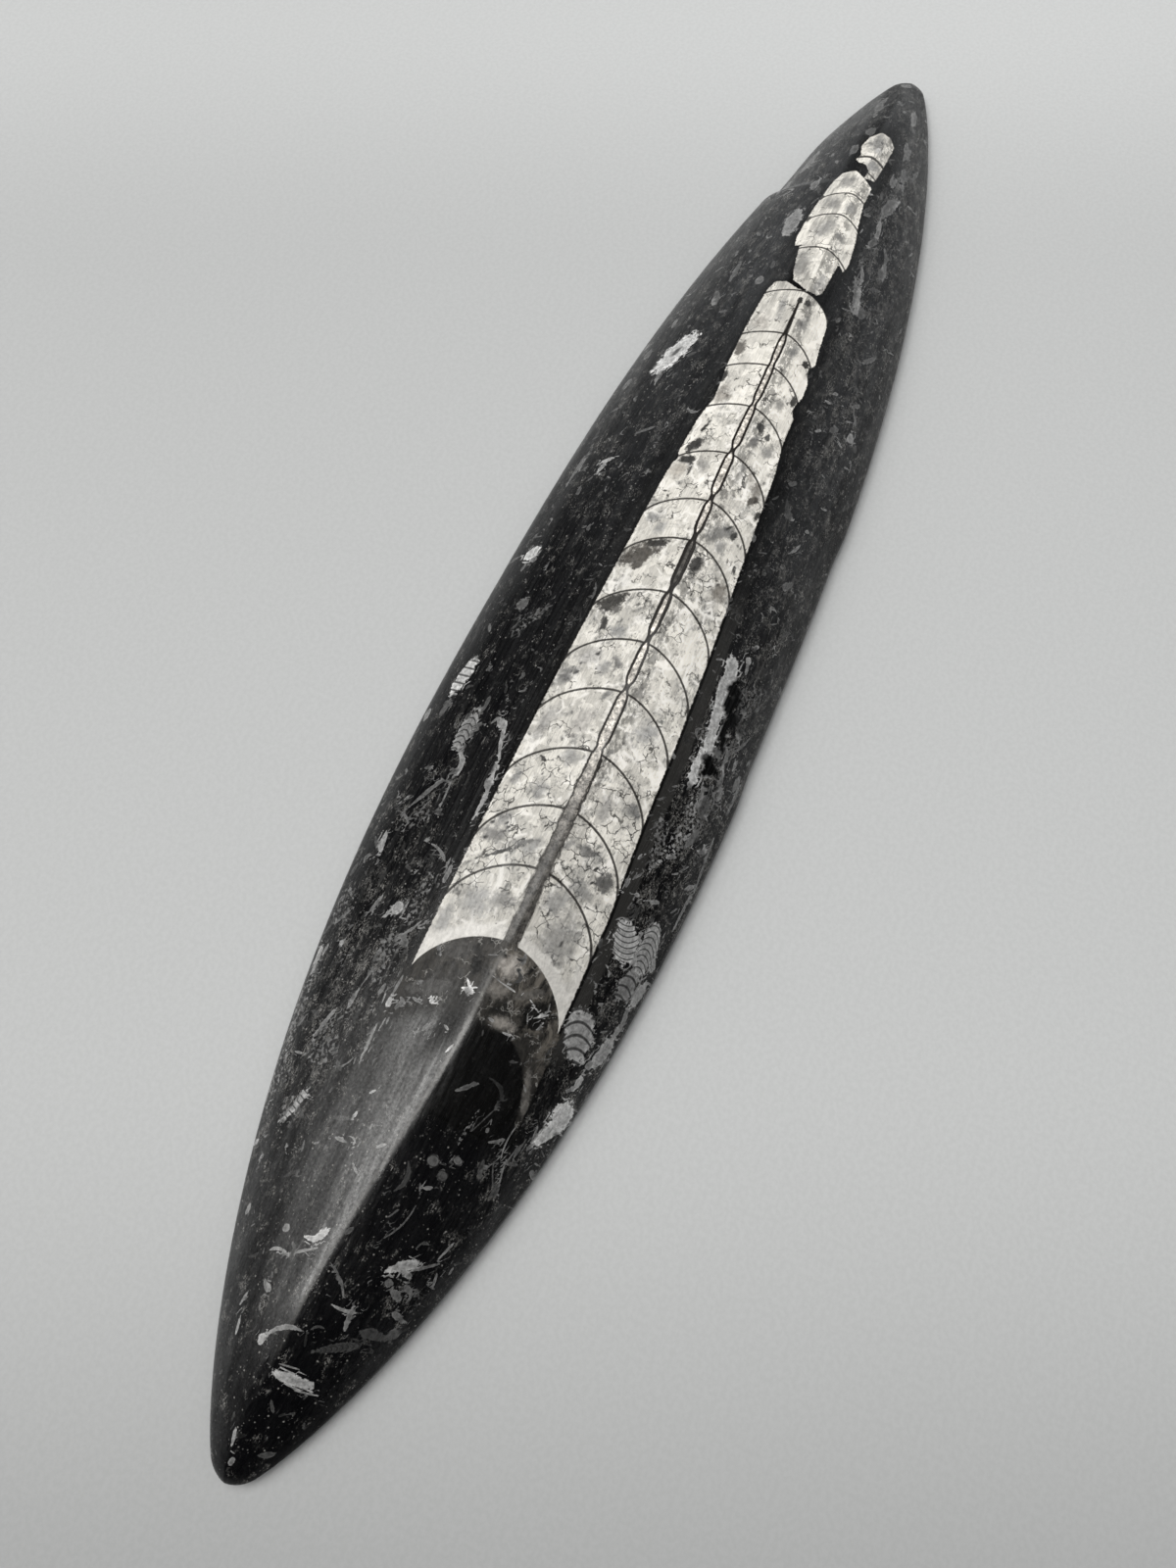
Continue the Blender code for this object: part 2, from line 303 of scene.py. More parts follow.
# Small fossils and shards in the rock, as (x, y, half length, half width, turn, tone) and a seventh number.
# A shard's is its bend, how far its ends stand off sideways in half widths, and none is no bend. A ribbed or
# stacked one's is how many lines cross it, and a ringed one's is twice its rings.
RELICS = {
    "shards": [
        # The tip, +Y side and keel
        (-129.0, 3.0, 0.9, 0.55, -5, 0.62), (-126.5, 0.5, 2.5, 0.35, -60, 0.50, -2),
        (-123.0, 5.5, 0.7, 0.5, 75, 0.55), (-118.0, 6.5, 1.6, 0.25, -75, 0.55, -2),
        (-116.5, 3.0, 2.3, 0.2, -55, 0.50), (-114.0, 2.0, 1.8, 0.4, -55, 0.66, 1.5),
        (-113.0, 1.5, 0.7, 0.4, -20, 0.72), (-115.0, 7.0, 0.6, 0.6, -25, 0.48),
        (-129.5, 7.5, 1.2, 0.2, 10, 0.60), (-126.0, 8.5, 1.1, 0.2, -10, 0.50),
        (-142.0, 1.0, 1.3, 0.3, 10, 0.55), (-145.0, 0.0, 0.7, 0.35, -10, 0.45),
        (-115.5, 14.5, 0.9, 0.3, 0, 0.50),
        # The tip, -Y side
        (-132.0, -3.5, 2.9, 0.75, -86, 0.64), (-130.6, -2.0, 1.3, 0.12, -83, 0.50),
        (-133.0, -5.5, 1.6, 0.14, -82, 0.55), (-121.0, -6.0, 1.8, 0.25, -83, 0.55, 1),
        (-117.6, -3.3, 2.6, 0.2, 47, 0.40, 2.5), (-118.4, -4.0, 1.6, 0.12, 50, 0.40, 2),
        (-112.6, -10.7, 2.5, 0.7, -53, 0.62), (-113.3, -11.0, 1.2, 0.4, 57, 0.58),
        (-111.5, -13.5, 2.0, 0.2, -52, 0.42), (-108.5, -15.0, 1.5, 0.15, -20, 0.50),
        (-122.7, -10.5, 1.9, 0.8, -82, 0.26), (-142.5, -4.0, 1.1, 0.4, -60, 0.30),
        (-116.5, -13.0, 0.9, 0.16, -13, 0.40), (-113.8, -15.0, 0.7, 0.17, 76, 0.40),
        # The open chamber and the rock on its -Y side
        (-103.6, 1.3, 0.9, 0.2, 54, 0.50), (-101.7, -9.3, 0.6, 0.3, -57, 0.50),
        (-107.5, -8.0, 3.0, 0.12, -20, 0.35, 4), (-91.2, -16.7, 2.6, 0.1, -2, 0.50, -3),
        (-96.3, -18.0, 3.0, 0.1, 12, 0.50, -3), (-96.2, -16.7, 2.2, 0.1, 22, 0.36, -2),
        (-91.4, -18.6, 1.5, 0.2, -11, 0.38), (-90.0, -12.4, 2.6, 0.09, -22, 0.30),
        (-83.3, -15.9, 0.6, 0.16, 39, 0.5), (-62.4, -25.5, 2.5, 0.6, -9, 0.62),
        (-66.3, -25.0, 1.0, 0.35, 8, 0.50), (-68.7, -24.8, 1.3, 0.35, -12, 0.55),
        (-73.0, -24.1, 3.1, 0.85, -14, 0.62), (-75.7, -23.0, 0.9, 0.45, -27, 0.50),
        (-78.6, -22.6, 1.2, 0.4, -10, 0.66), (-84.4, -22.4, 2.5, 1.4, -14, 0.80),
        (-87.6, -21.3, 2.6, 0.8, -26, 0.76), (-57.2, -25.8, 1.1, 0.35, 0, 0.60),
        (-61.8, -20.0, 0.9, 0.2, 36, 0.50, 2), (-65.3, -19.4, 0.8, 0.12, 13, 0.50),
        # White crystals in the mud and along the keel beside it
        (-74.0, -2.5, 1.3, 0.16, -67, 0.82), (-73.3, -2.2, 0.8, 0.14, 45, 0.80),
        (-74.5, -2.8, 0.8, 0.4, 87, 0.62), (-77.8, 1.7, 1.0, 0.16, 80, 0.75),
        (-77.6, 1.9, 0.6, 0.18, -9, 0.72), (-83.0, -3.9, 0.9, 0.15, -21, 0.70),
        (-80.5, -2.0, 0.5, 0.2, 60, 0.55), (-71.5, -8.1, 0.9, 0.13, 83, 0.66),
        (-71.2, -6.1, 1.0, 0.1, 78, 0.55), (-77.6, -10.5, 0.9, 0.2, -84, 0.62),
        (-76.8, -7.6, 0.6, 0.25, 80, 0.52), (-72.2, -12.5, 1.2, 0.14, 60, 0.74),
        (-73.0, -13.8, 1.1, 0.12, -50, 0.70), (-74.2, -12.2, 0.9, 0.1, 20, 0.55),
        (-71.6, -14.4, 0.8, 0.1, 10, 0.50), (-76.0, 4.9, 0.5, 0.25, -47, 0.42),
        (-78.6, 4.2, 0.8, 0.2, 75, 0.48), (-79.4, 6.2, 0.7, 0.25, 60, 0.44),
        # The near half, +Y side
        (-80.3, 8.1, 1.0, 0.4, 2, 0.66), (-77.7, 8.1, 1.6, 0.22, -3, 0.45),
        (-86.7, 16.7, 3.1, 0.33, -16, 0.50), (-82.0, 14.0, 1.7, 0.28, -4, 0.50),
        (-76.6, 13.1, 3.7, 0.14, -12, 0.42), (-78.7, 23.9, 2.5, 0.36, 9, 0.60),
        (-77.9, 25.7, 1.2, 0.14, 16, 0.50), (-94.9, 20.6, 1.5, 0.2, 14, 0.50),
        (-98.1, 20.5, 1.2, 0.2, 14, 0.45), (-100.9, 19.9, 1.4, 0.2, 0, 0.42),
        (-106.9, 18.8, 0.6, 0.3, -19, 0.62), (-90.4, 12.9, 0.9, 0.25, -59, 0.40, 2),
        (-91.1, 10.1, 1.2, 0.11, -41, 0.45, 2), (-97.0, 4.9, 0.5, 0.25, -6, 0.62),
        (-100.2, 3.5, 0.8, 0.16, 69, 0.60, 2), (-93.1, 4.0, 0.5, 0.16, -41, 0.66),
        (-101.0, 5.2, 1.1, 0.3, -87, 0.50), (-99.3, -0.9, 0.8, 0.25, -46, 0.50),
        (-74.5, 20.7, 0.5, 0.4, 6, 0.60), (-68.2, 15.6, 0.8, 0.25, -22, 0.55, 2),
        (-70.5, 23.0, 1.8, 0.4, -31, 0.42), (-87.0, 8.2, 3.0, 0.25, 2, 0.50),
        (-59.0, 8.9, 1.6, 0.4, 0, 0.45), (-70.0, 11.0, 3.0, 0.25, -35, 0.45, 1),
        (-32.5, 27.4, 1.2, 0.5, 0, 0.50), (-31.0, 24.3, 2.0, 0.5, -8, 0.35),
        (-44.5, 9.3, 4.6, 0.38, 4, 0.60, 1), (-43.0, 9.6, 1.2, 0.7, 30, 0.50),
        (-35.0, 11.0, 4.2, 0.32, 16, 0.60, -1), (-32.0, 12.6, 1.0, 0.5, 0, 0.55),
        (-45.0, 16.0, 5.5, 0.16, 5, 0.45, 1), (-40.5, 16.2, 2.4, 0.5, 22, 0.55, 1.5),
        (-57.0, 22.6, 2.2, 0.5, 10, 0.60), (-51.8, 21.0, 1.4, 0.25, 60, 0.40),
        (-48.5, 20.4, 3.0, 0.12, -25, 0.40), (-47.0, 19.4, 3.0, 0.12, -25, 0.40),
        (-45.8, 18.4, 2.6, 0.12, -25, 0.40), (-50.5, 19.0, 2.6, 0.12, -25, 0.38),
        (-56.0, 12.0, 2.3, 0.25, 60, 0.45, 2),
        # The near half, -Y side
        (-7.0, -18.2, 2.6, 1.1, 12, 0.70), (-11.5, -18.3, 4.0, 0.8, 8, 0.72),
        (-16.5, -19.2, 3.6, 0.9, 6, 0.74), (-20.3, -19.8, 2.2, 0.9, 6, 0.78),
        (-25.5, -19.4, 2.8, 0.6, 4, 0.78), (-27.5, -19.7, 0.8, 0.9, 20, 0.76),
        (-15.0, -18.9, 3.8, 0.12, 8, 0.06), (-9.6, -20.2, 1.7, 0.9, 50, 0.04),
        (-11.2, -21.3, 1.8, 0.7, -30, 0.04), (-12.6, -20.1, 1.7, 0.8, 20, 0.04),
        (-10.0, -22.3, 0.9, 0.3, 70, 0.04), (-13.9, -21.6, 1.3, 0.5, 35, 0.04),
        (-16.4, -21.1, 2.4, 0.45, -6, 0.04), (-19.0, -21.8, 1.5, 0.4, 10, 0.04),
        (-23.4, -21.0, 1.4, 0.7, 35, 0.04), (-24.9, -21.5, 1.3, 0.6, -30, 0.04),
        (-23.8, -22.4, 0.8, 0.3, 60, 0.04), (-8.2, -19.6, 0.9, 0.3, -60, 0.04),
        (-14.6, -22.6, 0.8, 0.25, 80, 0.04), (-3.4, -20.1, 0.5, 0.5, 0, 0.66),
        (-4.6, -20.4, 1.6, 0.25, 10, 0.50), (-29.0, -22.0, 2.6, 0.3, 12, 0.52, 1),
        (-33.5, -22.2, 1.6, 0.3, 30, 0.56), (-42.5, -20.0, 1.6, 0.35, -14, 0.58),
        (-36.0, -23.4, 2.6, 0.4, -14, 0.42, 1), (-26.5, -24.6, 1.4, 0.4, 6, 0.50),
        (-20.5, -23.0, 2.0, 0.3, 10, 0.46, 2), (-38.0, -26.8, 5.0, 0.16, 3, 0.50),
        (-47.0, -26.6, 3.6, 0.16, -3, 0.52), (-25.0, -27.0, 3.0, 0.2, 0, 0.52),
        (-17.0, -24.6, 2.6, 0.2, -20, 0.42, 1), (-23.0, -26.4, 1.6, 0.4, 0, 0.46),
        (-48.3, -17.3, 0.9, 0.2, 0, 0.50),
        # The far half, +Y side
        (2.5, 23.6, 1.8, 1.2, -30, 0.78), (1.0, 22.6, 0.6, 0.5, 0, 0.46), (22.5, 24.1, 3.5, 0.3, -3, 0.40),
        (24.0, 23.4, 2.4, 0.16, -3, 0.42), (17.0, 21.0, 1.2, 0.4, 0, 0.35),
        (24.4, 18.6, 1.3, 0.4, -62, 0.66), (22.7, 19.0, 1.5, 0.4, -12, 0.62),
        (-8.8, 20.0, 1.2, 1.0, 0, 0.36), (-11.5, 16.6, 3.4, 0.4, -35, 0.34, 1),
        (45.0, 23.6, 1.5, 0.6, -10, 0.40), (53.0, 22.6, 1.6, 0.6, 0, 0.36), (8.5, 15.2, 0.8, 0.4, 0, 0.36),
        (61.5, 20.6, 1.3, 0.4, 0, 0.45), (67.5, 14.6, 2.5, 0.6, 15, 0.36), (75.5, 13.7, 3.0, 0.5, 0, 0.36),
        (72.0, 7.8, 1.2, 0.8, 0, 0.42), (115.0, 3.3, 2.0, 0.8, 0, 0.38), (122.0, 2.0, 1.6, 0.9, 0, 0.36),
        (133.0, 3.2, 1.6, 0.8, 0, 0.38), (105.0, 14.0, 3.0, 0.6, -10, 0.46),
        (114.0, 11.6, 4.0, 0.7, -12, 0.46), (90.0, 7.6, 4.4, 1.5, 3, 0.52), (102.6, 7.4, 2.0, 0.8, 0, 0.44),
        (66.6, 14.7, 1.6, 0.5, 10, 0.50), (75.2, 13.8, 1.2, 0.4, 10, 0.50), (145.6, 0.6, 1.0, 1.2, 0, 0.46),
        (136.0, 3.4, 2.4, 0.6, -12, 0.40), (138.5, 0.4, 2.0, 0.7, 10, 0.04),
        (133.5, 0.8, 2.2, 0.6, -14, 0.04), (129.6, 3.1, 1.4, 0.4, 0, 0.42),
        # The far half, -Y side
        (76.0, -11.0, 3.2, 0.45, 12, 0.58), (82.0, -9.6, 2.4, 0.35, 16, 0.50, 1),
        (87.0, -12.9, 1.8, 0.7, 10, 0.48), (95.4, -8.6, 2.6, 0.5, 10, 0.52),
        (103.5, -8.9, 3.4, 0.6, -12, 0.58), (133.5, -4.4, 3.2, 0.5, 12, 0.52),
        (121.0, -6.8, 2.6, 0.5, -4, 0.44), (91.0, -12.0, 2.0, 0.4, 20, 0.40, 1),
        (110.0, -7.2, 1.8, 0.4, 0, 0.46), (13.5, -20.9, 1.3, 0.5, -20, 0.40),
        (25.0, -16.1, 1.0, 0.5, -30, 0.34), (31.0, -14.6, 1.0, 0.4, -30, 0.34),
        (47.0, -17.0, 1.2, 0.5, -30, 0.36), (48.5, -20.3, 1.2, 0.6, 0, 0.60),
        (66.5, -17.5, 2.0, 0.4, -25, 0.40), (77.0, -9.9, 4.0, 0.4, 15, 0.45, 1),
        (74.0, -12.6, 1.5, 0.8, 0, 0.36), (86.3, -12.8, 1.3, 0.8, 0, 0.36),
        (91.5, -8.8, 1.6, 0.6, -20, 0.38), (103.0, -8.5, 4.0, 1.0, -8, 0.42),
        (122.5, -6.0, 2.0, 0.5, 8, 0.45), (114.5, -8.0, 2.0, 0.6, 8, 0.42),
        (134.0, -4.5, 2.0, 0.6, 12, 0.45),
    ],
    "ribbed": [
        (-24.4, 24.0, 3.9, 1.25, -9, 0.76, 5), (-99.7, 15.2, 3.2, 0.85, -20, 0.62, 7),
    ],
    "stacked": [
        (-56.6, -20.6, 3.3, 2.0, 20, 0.68, -8), (-55.6, -24.0, 4.6, 1.35, 0, 0.62, 9),
        (-62.4, -23.4, 2.6, 1.3, -8, 0.50, 3), (-72.6, -19.9, 3.9, 2.1, 14, 0.60, 4),
        (-34.6, 18.2, 4.2, 1.3, -3, 0.52, 7), (-126.0, -7.0, 3.2, 0.6, -60, 0.26, 9),
    ],
    "ringed": [
        (-66.6, 14.2, 1.3, 1.1, 0, 0.62, 2), (52.3, 16.7, 6.0, 2.0, -20, 0.80, 1),
        (-98.1, -8.4, 0.9, 0.8, -86, 0.36, 2), (-96.6, -11.5, 0.7, 0.6, 86, 0.42, 2),
        (-99.4, -10.4, 0.8, 0.7, 70, 0.30, 2), (-91.1, -13.5, 0.3, 0.3, 0, 0.40, 1),
        (-116.6, -11.2, 1.0, 0.6, 54, 0.40, 1), (-115.5, -9.7, 0.6, 0.5, 0, 0.40, 1),
        (-119.3, -12.7, 1.1, 0.5, 72, 0.40, 1), (-115.3, -12.4, 0.8, 0.5, 59, 0.40, 1),
        (-121.5, -13.0, 0.7, 0.6, 0, 0.34, 1), (-10.8, -22.6, 1.4, 0.7, 10, 0.46, 1),
        (-21.0, -21.6, 0.9, 0.6, 40, 0.42, 1), (-30.5, -23.2, 2.0, 0.8, 10, 0.34, 1),
    ],
    "speckled": [
        (-33.5, -22.0, 4.4, 1.0, 6, 0.58), (-39.5, -20.9, 4.4, 0.9, -14, 0.60),
        (-27.5, -23.8, 2.4, 0.8, 20, 0.46), (-100.0, 15.6, 2.6, 1.0, -15, 0.46),
        (-68.5, 24.0, 3.0, 1.5, 0, 0.42), (-92.5, -10.8, 3.5, 0.25, -8, 0.4),
        (-74.0, 12.5, 4.0, 1.2, 6, 0.42), (-64.0, 11.4, 4.0, 1.0, 0, 0.42), (-90.0, 15.0, 3.0, 2.0, 0, 0.40),
        (-86.0, 22.6, 6.0, 1.0, 10, 0.46), (-97.0, 20.6, 5.0, 1.0, 10, 0.48),
        (-40.0, -19.0, 4.0, 1.2, 10, 0.45), (-9.0, -23.0, 3.4, 1.4, -20, 0.40),
        (-11.5, 17.0, 4.0, 1.0, -35, 0.38), (-52.0, 19.0, 3.0, 1.0, -30, 0.4),
    ],
}
LINED = ("ribbed", "stacked", "ringed")
# How far past a small fossil its distance is worked out, and what keeps a bent one in the middle
RELIC_REACH = 5.0
RELIC_MARGIN = 2.0
BEND_MIDDLE = 0.4

# How busy with shell hash the rock is, and how grey, as (x, y, reach along X, reach along Y, busy, grey)
ROCK_AREAS = [
    (-133.0, -5.0, 9.0, 5.0, 0.22, 0.0), (-117.0, -12.0, 9.0, 5.0, 0.45, 0.0),
    (-100.0, -9.0, 14.0, 5.0, 0.20, 0.0), (-92.0, -19.0, 10.0, 4.0, 0.5, 0.1),
    (-66.0, -23.0, 20.0, 4.5, 0.7, 0.08), (-28.0, -21.0, 18.0, 6.0, 0.9, 0.12),
    (-5.0, -21.0, 12.0, 6.0, 0.7, 0.45), (25.0, -18.0, 26.0, 7.0, 0.6, 0.5),
    (75.0, -14.0, 24.0, 8.0, 0.7, 0.6), (115.0, -8.0, 18.0, 6.0, 0.8, 0.6),
    (-128.0, 5.0, 14.0, 5.0, 0.30, 0.05), (-94.0, 20.0, 12.0, 4.0, 0.7, 0.05),
    (-76.0, 15.0, 14.0, 6.0, 0.7, 0.05), (-100.0, 5.0, 12.0, 4.0, 0.4, 0.1),
    (-50.0, 11.5, 14.0, 3.0, 0.2, 0.0), (-56.0, 22.0, 14.0, 4.0, 0.5, 0.05),
    (-30.0, 20.0, 12.0, 7.0, 0.35, 0.03), (-8.0, 15.0, 22.0, 8.0, 0.30, 0.05),
    (25.0, 14.0, 20.0, 7.0, 0.55, 0.25), (60.0, 14.0, 24.0, 8.0, 0.45, 0.3),
    (92.0, 10.0, 20.0, 7.0, 0.55, 0.5), (125.0, 3.0, 14.0, 6.0, 0.5, 0.5), (75.0, -6.5, 7.0, 2.0, 0.05, 0.0),
    (123.0, -2.5, 5.0, 2.0, 0.05, 0.0), (110.0, 3.2, 4.0, 1.6, 0.05, 0.0),
]
# The plain rock's weight against the areas, and how busy and how grey it is
PLAIN_ROCK = (0.04, 0.4, 0.2)
# Shards strewn at random: how many, how far out along X and Y, and the widest one
DEBRIS = 2200
DEBRIS_REACH = (145, 28)
WIDEST_DEBRIS = 0.32
SEED = 7
# Dust in the rock, as (size of a cell, how rare, how strong)
DUST = [(0.75, 0.90, 0.7), (0.42, 0.86, 0.5)]

# How a tone that the eye reads becomes paint: its power, and the light that falls on it
EYE_POWER = 2.2
STUDIO_LIGHT = 0.88
# How deep the polish is brushed, and how far up the sawn base's look reaches
BRUSH_DEPTH = 0.02
SAWN_TOP = 0.3
# Stand-ins for far away and for next to nothing
FAR_OFF = 1e6
TINY = 1e-9
TINY_SHARE = 1e-6

# ---------------------------------------------------------------- the studio, in metres

# Where the floor's painted shade and painted light start and end, in metres along the view or across it, and
# how bright they get
NEAR_PAINTED_SHADE_RUN = (-0.20, -0.074)
FAR_PAINTED_LIGHT_RUN = (0.085, 0.16)
FAR_PAINTED_LIGHT = 1.17
ACROSS_RUN = (-0.12, 0.14)
ACROSS_PAINTED_SHADE = (1.025, 0.90)
FLOOR_REACH = 4.0
PAPER_GRAIN = 0.0008
PAPER_ROUGHNESS = 0.6
# The camera's frame in millimetres, and the nearest thing it sees in metres
FRAME_LENGTH = 36.0
NEAREST_SEEN = 0.01

WARM = (1.0, 0.99, 0.965)
COOL = (0.94, 0.97, 1.0)
ROOM = (0.98, 0.99, 1.0, 1.0)
# Soft panels, as (name, turn, height, distance, width and height as angles, whose brightness, share, tint)
PANELS = [
    ("key_panel", 105, 52, 2.0, 36, 24, "key", 1.0, WARM),
    ("middle_key_panel", 110, 31, 2.0, 28, 18, "key", 0.42, WARM),
    ("low_key_panel", 117, 13, 2.6, 38, 18, "key", 0.11, WARM),
    ("overhead_panel", 94, 76, 2.0, 52, 40, "overhead", 1.0, WARM),
    ("fill_panel", -95, 52, 2.0, 60, 40, "fill", 1.0, WARM),
    ("far_panel", -8, 16, 3.0, 96, 30, "far", 1.0, COOL),
    ("side_panel", 47, 18, 3.0, 22, 30, "far", 0.6, COOL),
]


def blend_steps(t):
    """Smooth step from 0 to 1: three t squared less two t cubed, with t held between 0 and 1."""
    t = np.clip(t, 0.0, 1.0)
    return t * t * (3 - 2 * t)


def quarter_round(distance, length):
    """Quarter circle: 0 at an end, 1 once length away from it."""
    q = np.clip(1 - distance / length, 0.0, 1.0)
    return np.sqrt(1 - q * q)


def crowded(steps, share):
    """Even steps from 0 to 1 drawn towards both ends: a share of them cosine spaced, and the rest even."""
    return share * (1 - np.cos(math.pi * steps)) / 2 + (1 - share) * steps


def along(route, x):
    """Values read off a route of (x, value) points by straight runs."""
    return np.interp(x, [point[0] for point in route], [point[1] for point in route])


def keel_y(x):
    """The keel's sideways place: half smooth step and half straight run between the points of its route."""
    y = np.full(x.shape, KEEL_ROUTE[-1][1])
    for (x0, y0), (x1, y1) in reversed(list(zip(KEEL_ROUTE, KEEL_ROUTE[1:]))):
        t = (x - x0) / (x1 - x0)
        y = np.where(x <= x1, y0 + (y1 - y0) * (0.5 * blend_steps(t) + 0.5 * t), y)
    return y


def rim_wear(x, side):
    """How far the rim stands in where stone has come off.

    It steps in over a length at the start. The flake then heals over the whole of its run, and the flat
    steps out again at its end.
    """
    if side > 0:
        _, start, end, depth, step = RIM_FLAKE
        healing = 1 - blend_steps((x - start - step) / (end - start - step))
        return depth * blend_steps((x - start) / step) * healing
    _, start, end, depth, step = RIM_FLAT
    return depth * blend_steps((x - start) / step) * (1 - blend_steps((x - end + step) / step))


def rim_y(x, side):
    """The widest line: a superellipse, fuller at -X and at both noses, on a middle line bowed to +Y."""
    share = np.clip(np.abs(x) / HALF_LENGTH, 0.0, 1.0)
    to_end = HALF_LENGTH - np.abs(x)
    plain = HALF_WIDTH * (1 - share ** OUTLINE_POWER) ** OUTLINE_ROOT * (1 - BROAD_END * x / HALF_LENGTH)
    fullness = np.where(x < 0, NOSE_BROAD[0], NOSE_NARROW[0])
    fade = np.where(x < 0, NOSE_BROAD[1], NOSE_NARROW[1])
    nose = fullness * quarter_round(to_end, NOSE_CAP) * np.exp(-to_end / fade)
    return side * np.maximum(plain + nose - rim_wear(x, side), 0.0) + BOW * (1 - share ** 2) ** 2


def crest_z(x):
    """Height of the keel above the widest line: a superellipse between the middle's height and the ends'."""
    share = np.abs(x) / HALF_LENGTH
    end = CREST_END - CREST_UNEQUAL * x / HALF_LENGTH
    height = end + (CREST_MIDDLE - end) * (1 - share ** CREST_POWER) ** CREST_ROOT
    return (height - RIM_HEIGHT) * quarter_round(HALF_LENGTH - np.abs(x), NOSE_ROLL)


def flank_share(v):
    """Height over a flank, from 1 on the keel to 0 at the rim: one less v to a power, to a root."""
    rounded = (np.sqrt(v * v + KEEL_ROUND ** 2) - KEEL_ROUND) / (math.sqrt(1 + KEEL_ROUND ** 2) - KEEL_ROUND)
    return np.maximum(1 - rounded ** FLANK_POWER, 0.0) ** FLANK_ROOT


def stone_rings(x):
    """Rings of the stone, as arrays of y and z with a row for each x.

    A ring runs up the +Y undercut, over the flank to the keel, down the -Y flank and undercut, and back
    along the base. Over a flank z is the rim's height plus the keel's height times flank_share, and an
    undercut is a quarter ellipse. Steps crowd at the keel and at the rim.
    """
    x = x[:, None]
    left = rim_y(x, +1)
    right = rim_y(x, -1)
    half_width = (left - right) / 2
    centre = keel_y(x) * np.minimum(half_width / KEEL_FADE_WIDTH, 1.0)
    height = crest_z(x)
    base_lift = RIM_HEIGHT * (1 - quarter_round(HALF_LENGTH - np.abs(x), UNDERCUT))
    inset = UNDERCUT * np.minimum(half_width / (4 * UNDERCUT), 1.0)
    v = crowded(np.arange(FLANK_STEPS + 1) / FLANK_STEPS, CROWDED_AT_EDGES)
    turn = math.pi / 2 * np.arange(UNDERCUT_STEPS) / UNDERCUT_STEPS
    foot_in = inset * (1 - np.sin(turn))
    foot_z = base_lift + (RIM_HEIGHT - base_lift) * (1 - np.cos(turn))
    over_z = RIM_HEIGHT + height * flank_share(v)
    over_left = centre + (left - centre) * v
    over_right = centre + (right - centre) * v
    across = np.arange(1, BASE_STEPS) / BASE_STEPS
    base_y = (right + inset) + ((left - inset) - (right + inset)) * across
    base_z = np.repeat(base_lift, BASE_STEPS - 1, axis=1)
    y = [left - foot_in, over_left[:, ::-1], over_right[:, 1:], (right + foot_in)[:, ::-1], base_y]
    z = [foot_z, over_z[:, ::-1], over_z[:, 1:], foot_z[:, ::-1], base_z]
    return np.concatenate(y, axis=1), np.concatenate(z, axis=1)


def stone_grid():
    """The stone's points and faces: rings that crowd at the ends, closed by a pole at each nose.

    The last few rings come nearer and nearer the pole, at a small step times their number to a power.
    """
    x = HALF_LENGTH * (2 * crowded(np.arange(1, STATIONS) / STATIONS, CROWDED_AT_NOSES) - 1)
    nose = HALF_LENGTH - FIRST_NOSE_RING * np.arange(1, NOSE_RINGS + 1) ** NOSE_RING_POWER
    x = np.sort(np.concatenate([x, nose, -nose]))
    y, z = stone_rings(x)
    rings, count = y.shape
    points = np.stack([np.repeat(x[:, None], count, axis=1), y, z], axis=-1).reshape(-1, 3)
    poles = np.array([[-HALF_LENGTH, 0.0, RIM_HEIGHT], [HALF_LENGTH, 0.0, RIM_HEIGHT]])
    index = np.arange(rings * count).reshape(rings, count)
    following = np.roll(index, -1, axis=1)
    quads = np.stack([index[:-1], index[1:], following[1:], following[:-1]], axis=-1).reshape(-1, 4)
    near = np.stack([np.full(count, rings * count), index[0], following[0]], axis=-1)
    far = np.stack([np.full(count, rings * count + 1), following[-1], index[-1]], axis=-1)
    return np.concatenate([points, poles]), quads, np.concatenate([near, far])


def edge_depth(x, y, outline):
    """Distance inside a closed outline of straight runs: the nearest run's, and below 0 outside it."""
    corner = np.array(outline)
    following = np.roll(corner, -1, axis=0)
    nearest = np.full(x.shape, FAR_OFF)
    inside = np.zeros(x.shape, dtype=bool)
    for (x0, y0), (x1, y1) in zip(corner, following):
        length = (x1 - x0) ** 2 + (y1 - y0) ** 2
        t = np.clip(((x - x0) * (x1 - x0) + (y - y0) * (y1 - y0)) / length, 0.0, 1.0)
        nearest = np.minimum(nearest, np.hypot(x - x0 - t * (x1 - x0), y - y0 - t * (y1 - y0)))
        crosses = (y0 > y) != (y1 > y)
        rise = np.where(y1 == y0, TINY, y1 - y0)
        inside ^= crosses & (x < x0 + (y - y0) * (x1 - x0) / rise)
    return np.where(inside, nearest, -nearest)


def eye_to_paint(tone):
    """Paint that looks as light as a tone from 0 to 1: the tone to a power, over the studio's light."""
    return np.maximum(tone, 0.0) ** EYE_POWER / STUDIO_LIGHT


def turned(x, y, centre_x, centre_y, half_long, half_wide, turn):
    """Places along and across a turned oval, 1 at its ends and sides."""
    cos, sin = math.cos(math.radians(turn)), math.sin(math.radians(turn))
    dx, dy = x - centre_x, y - centre_y
    return (dx * cos + dy * sin) / half_long, (dy * cos - dx * sin) / half_wide


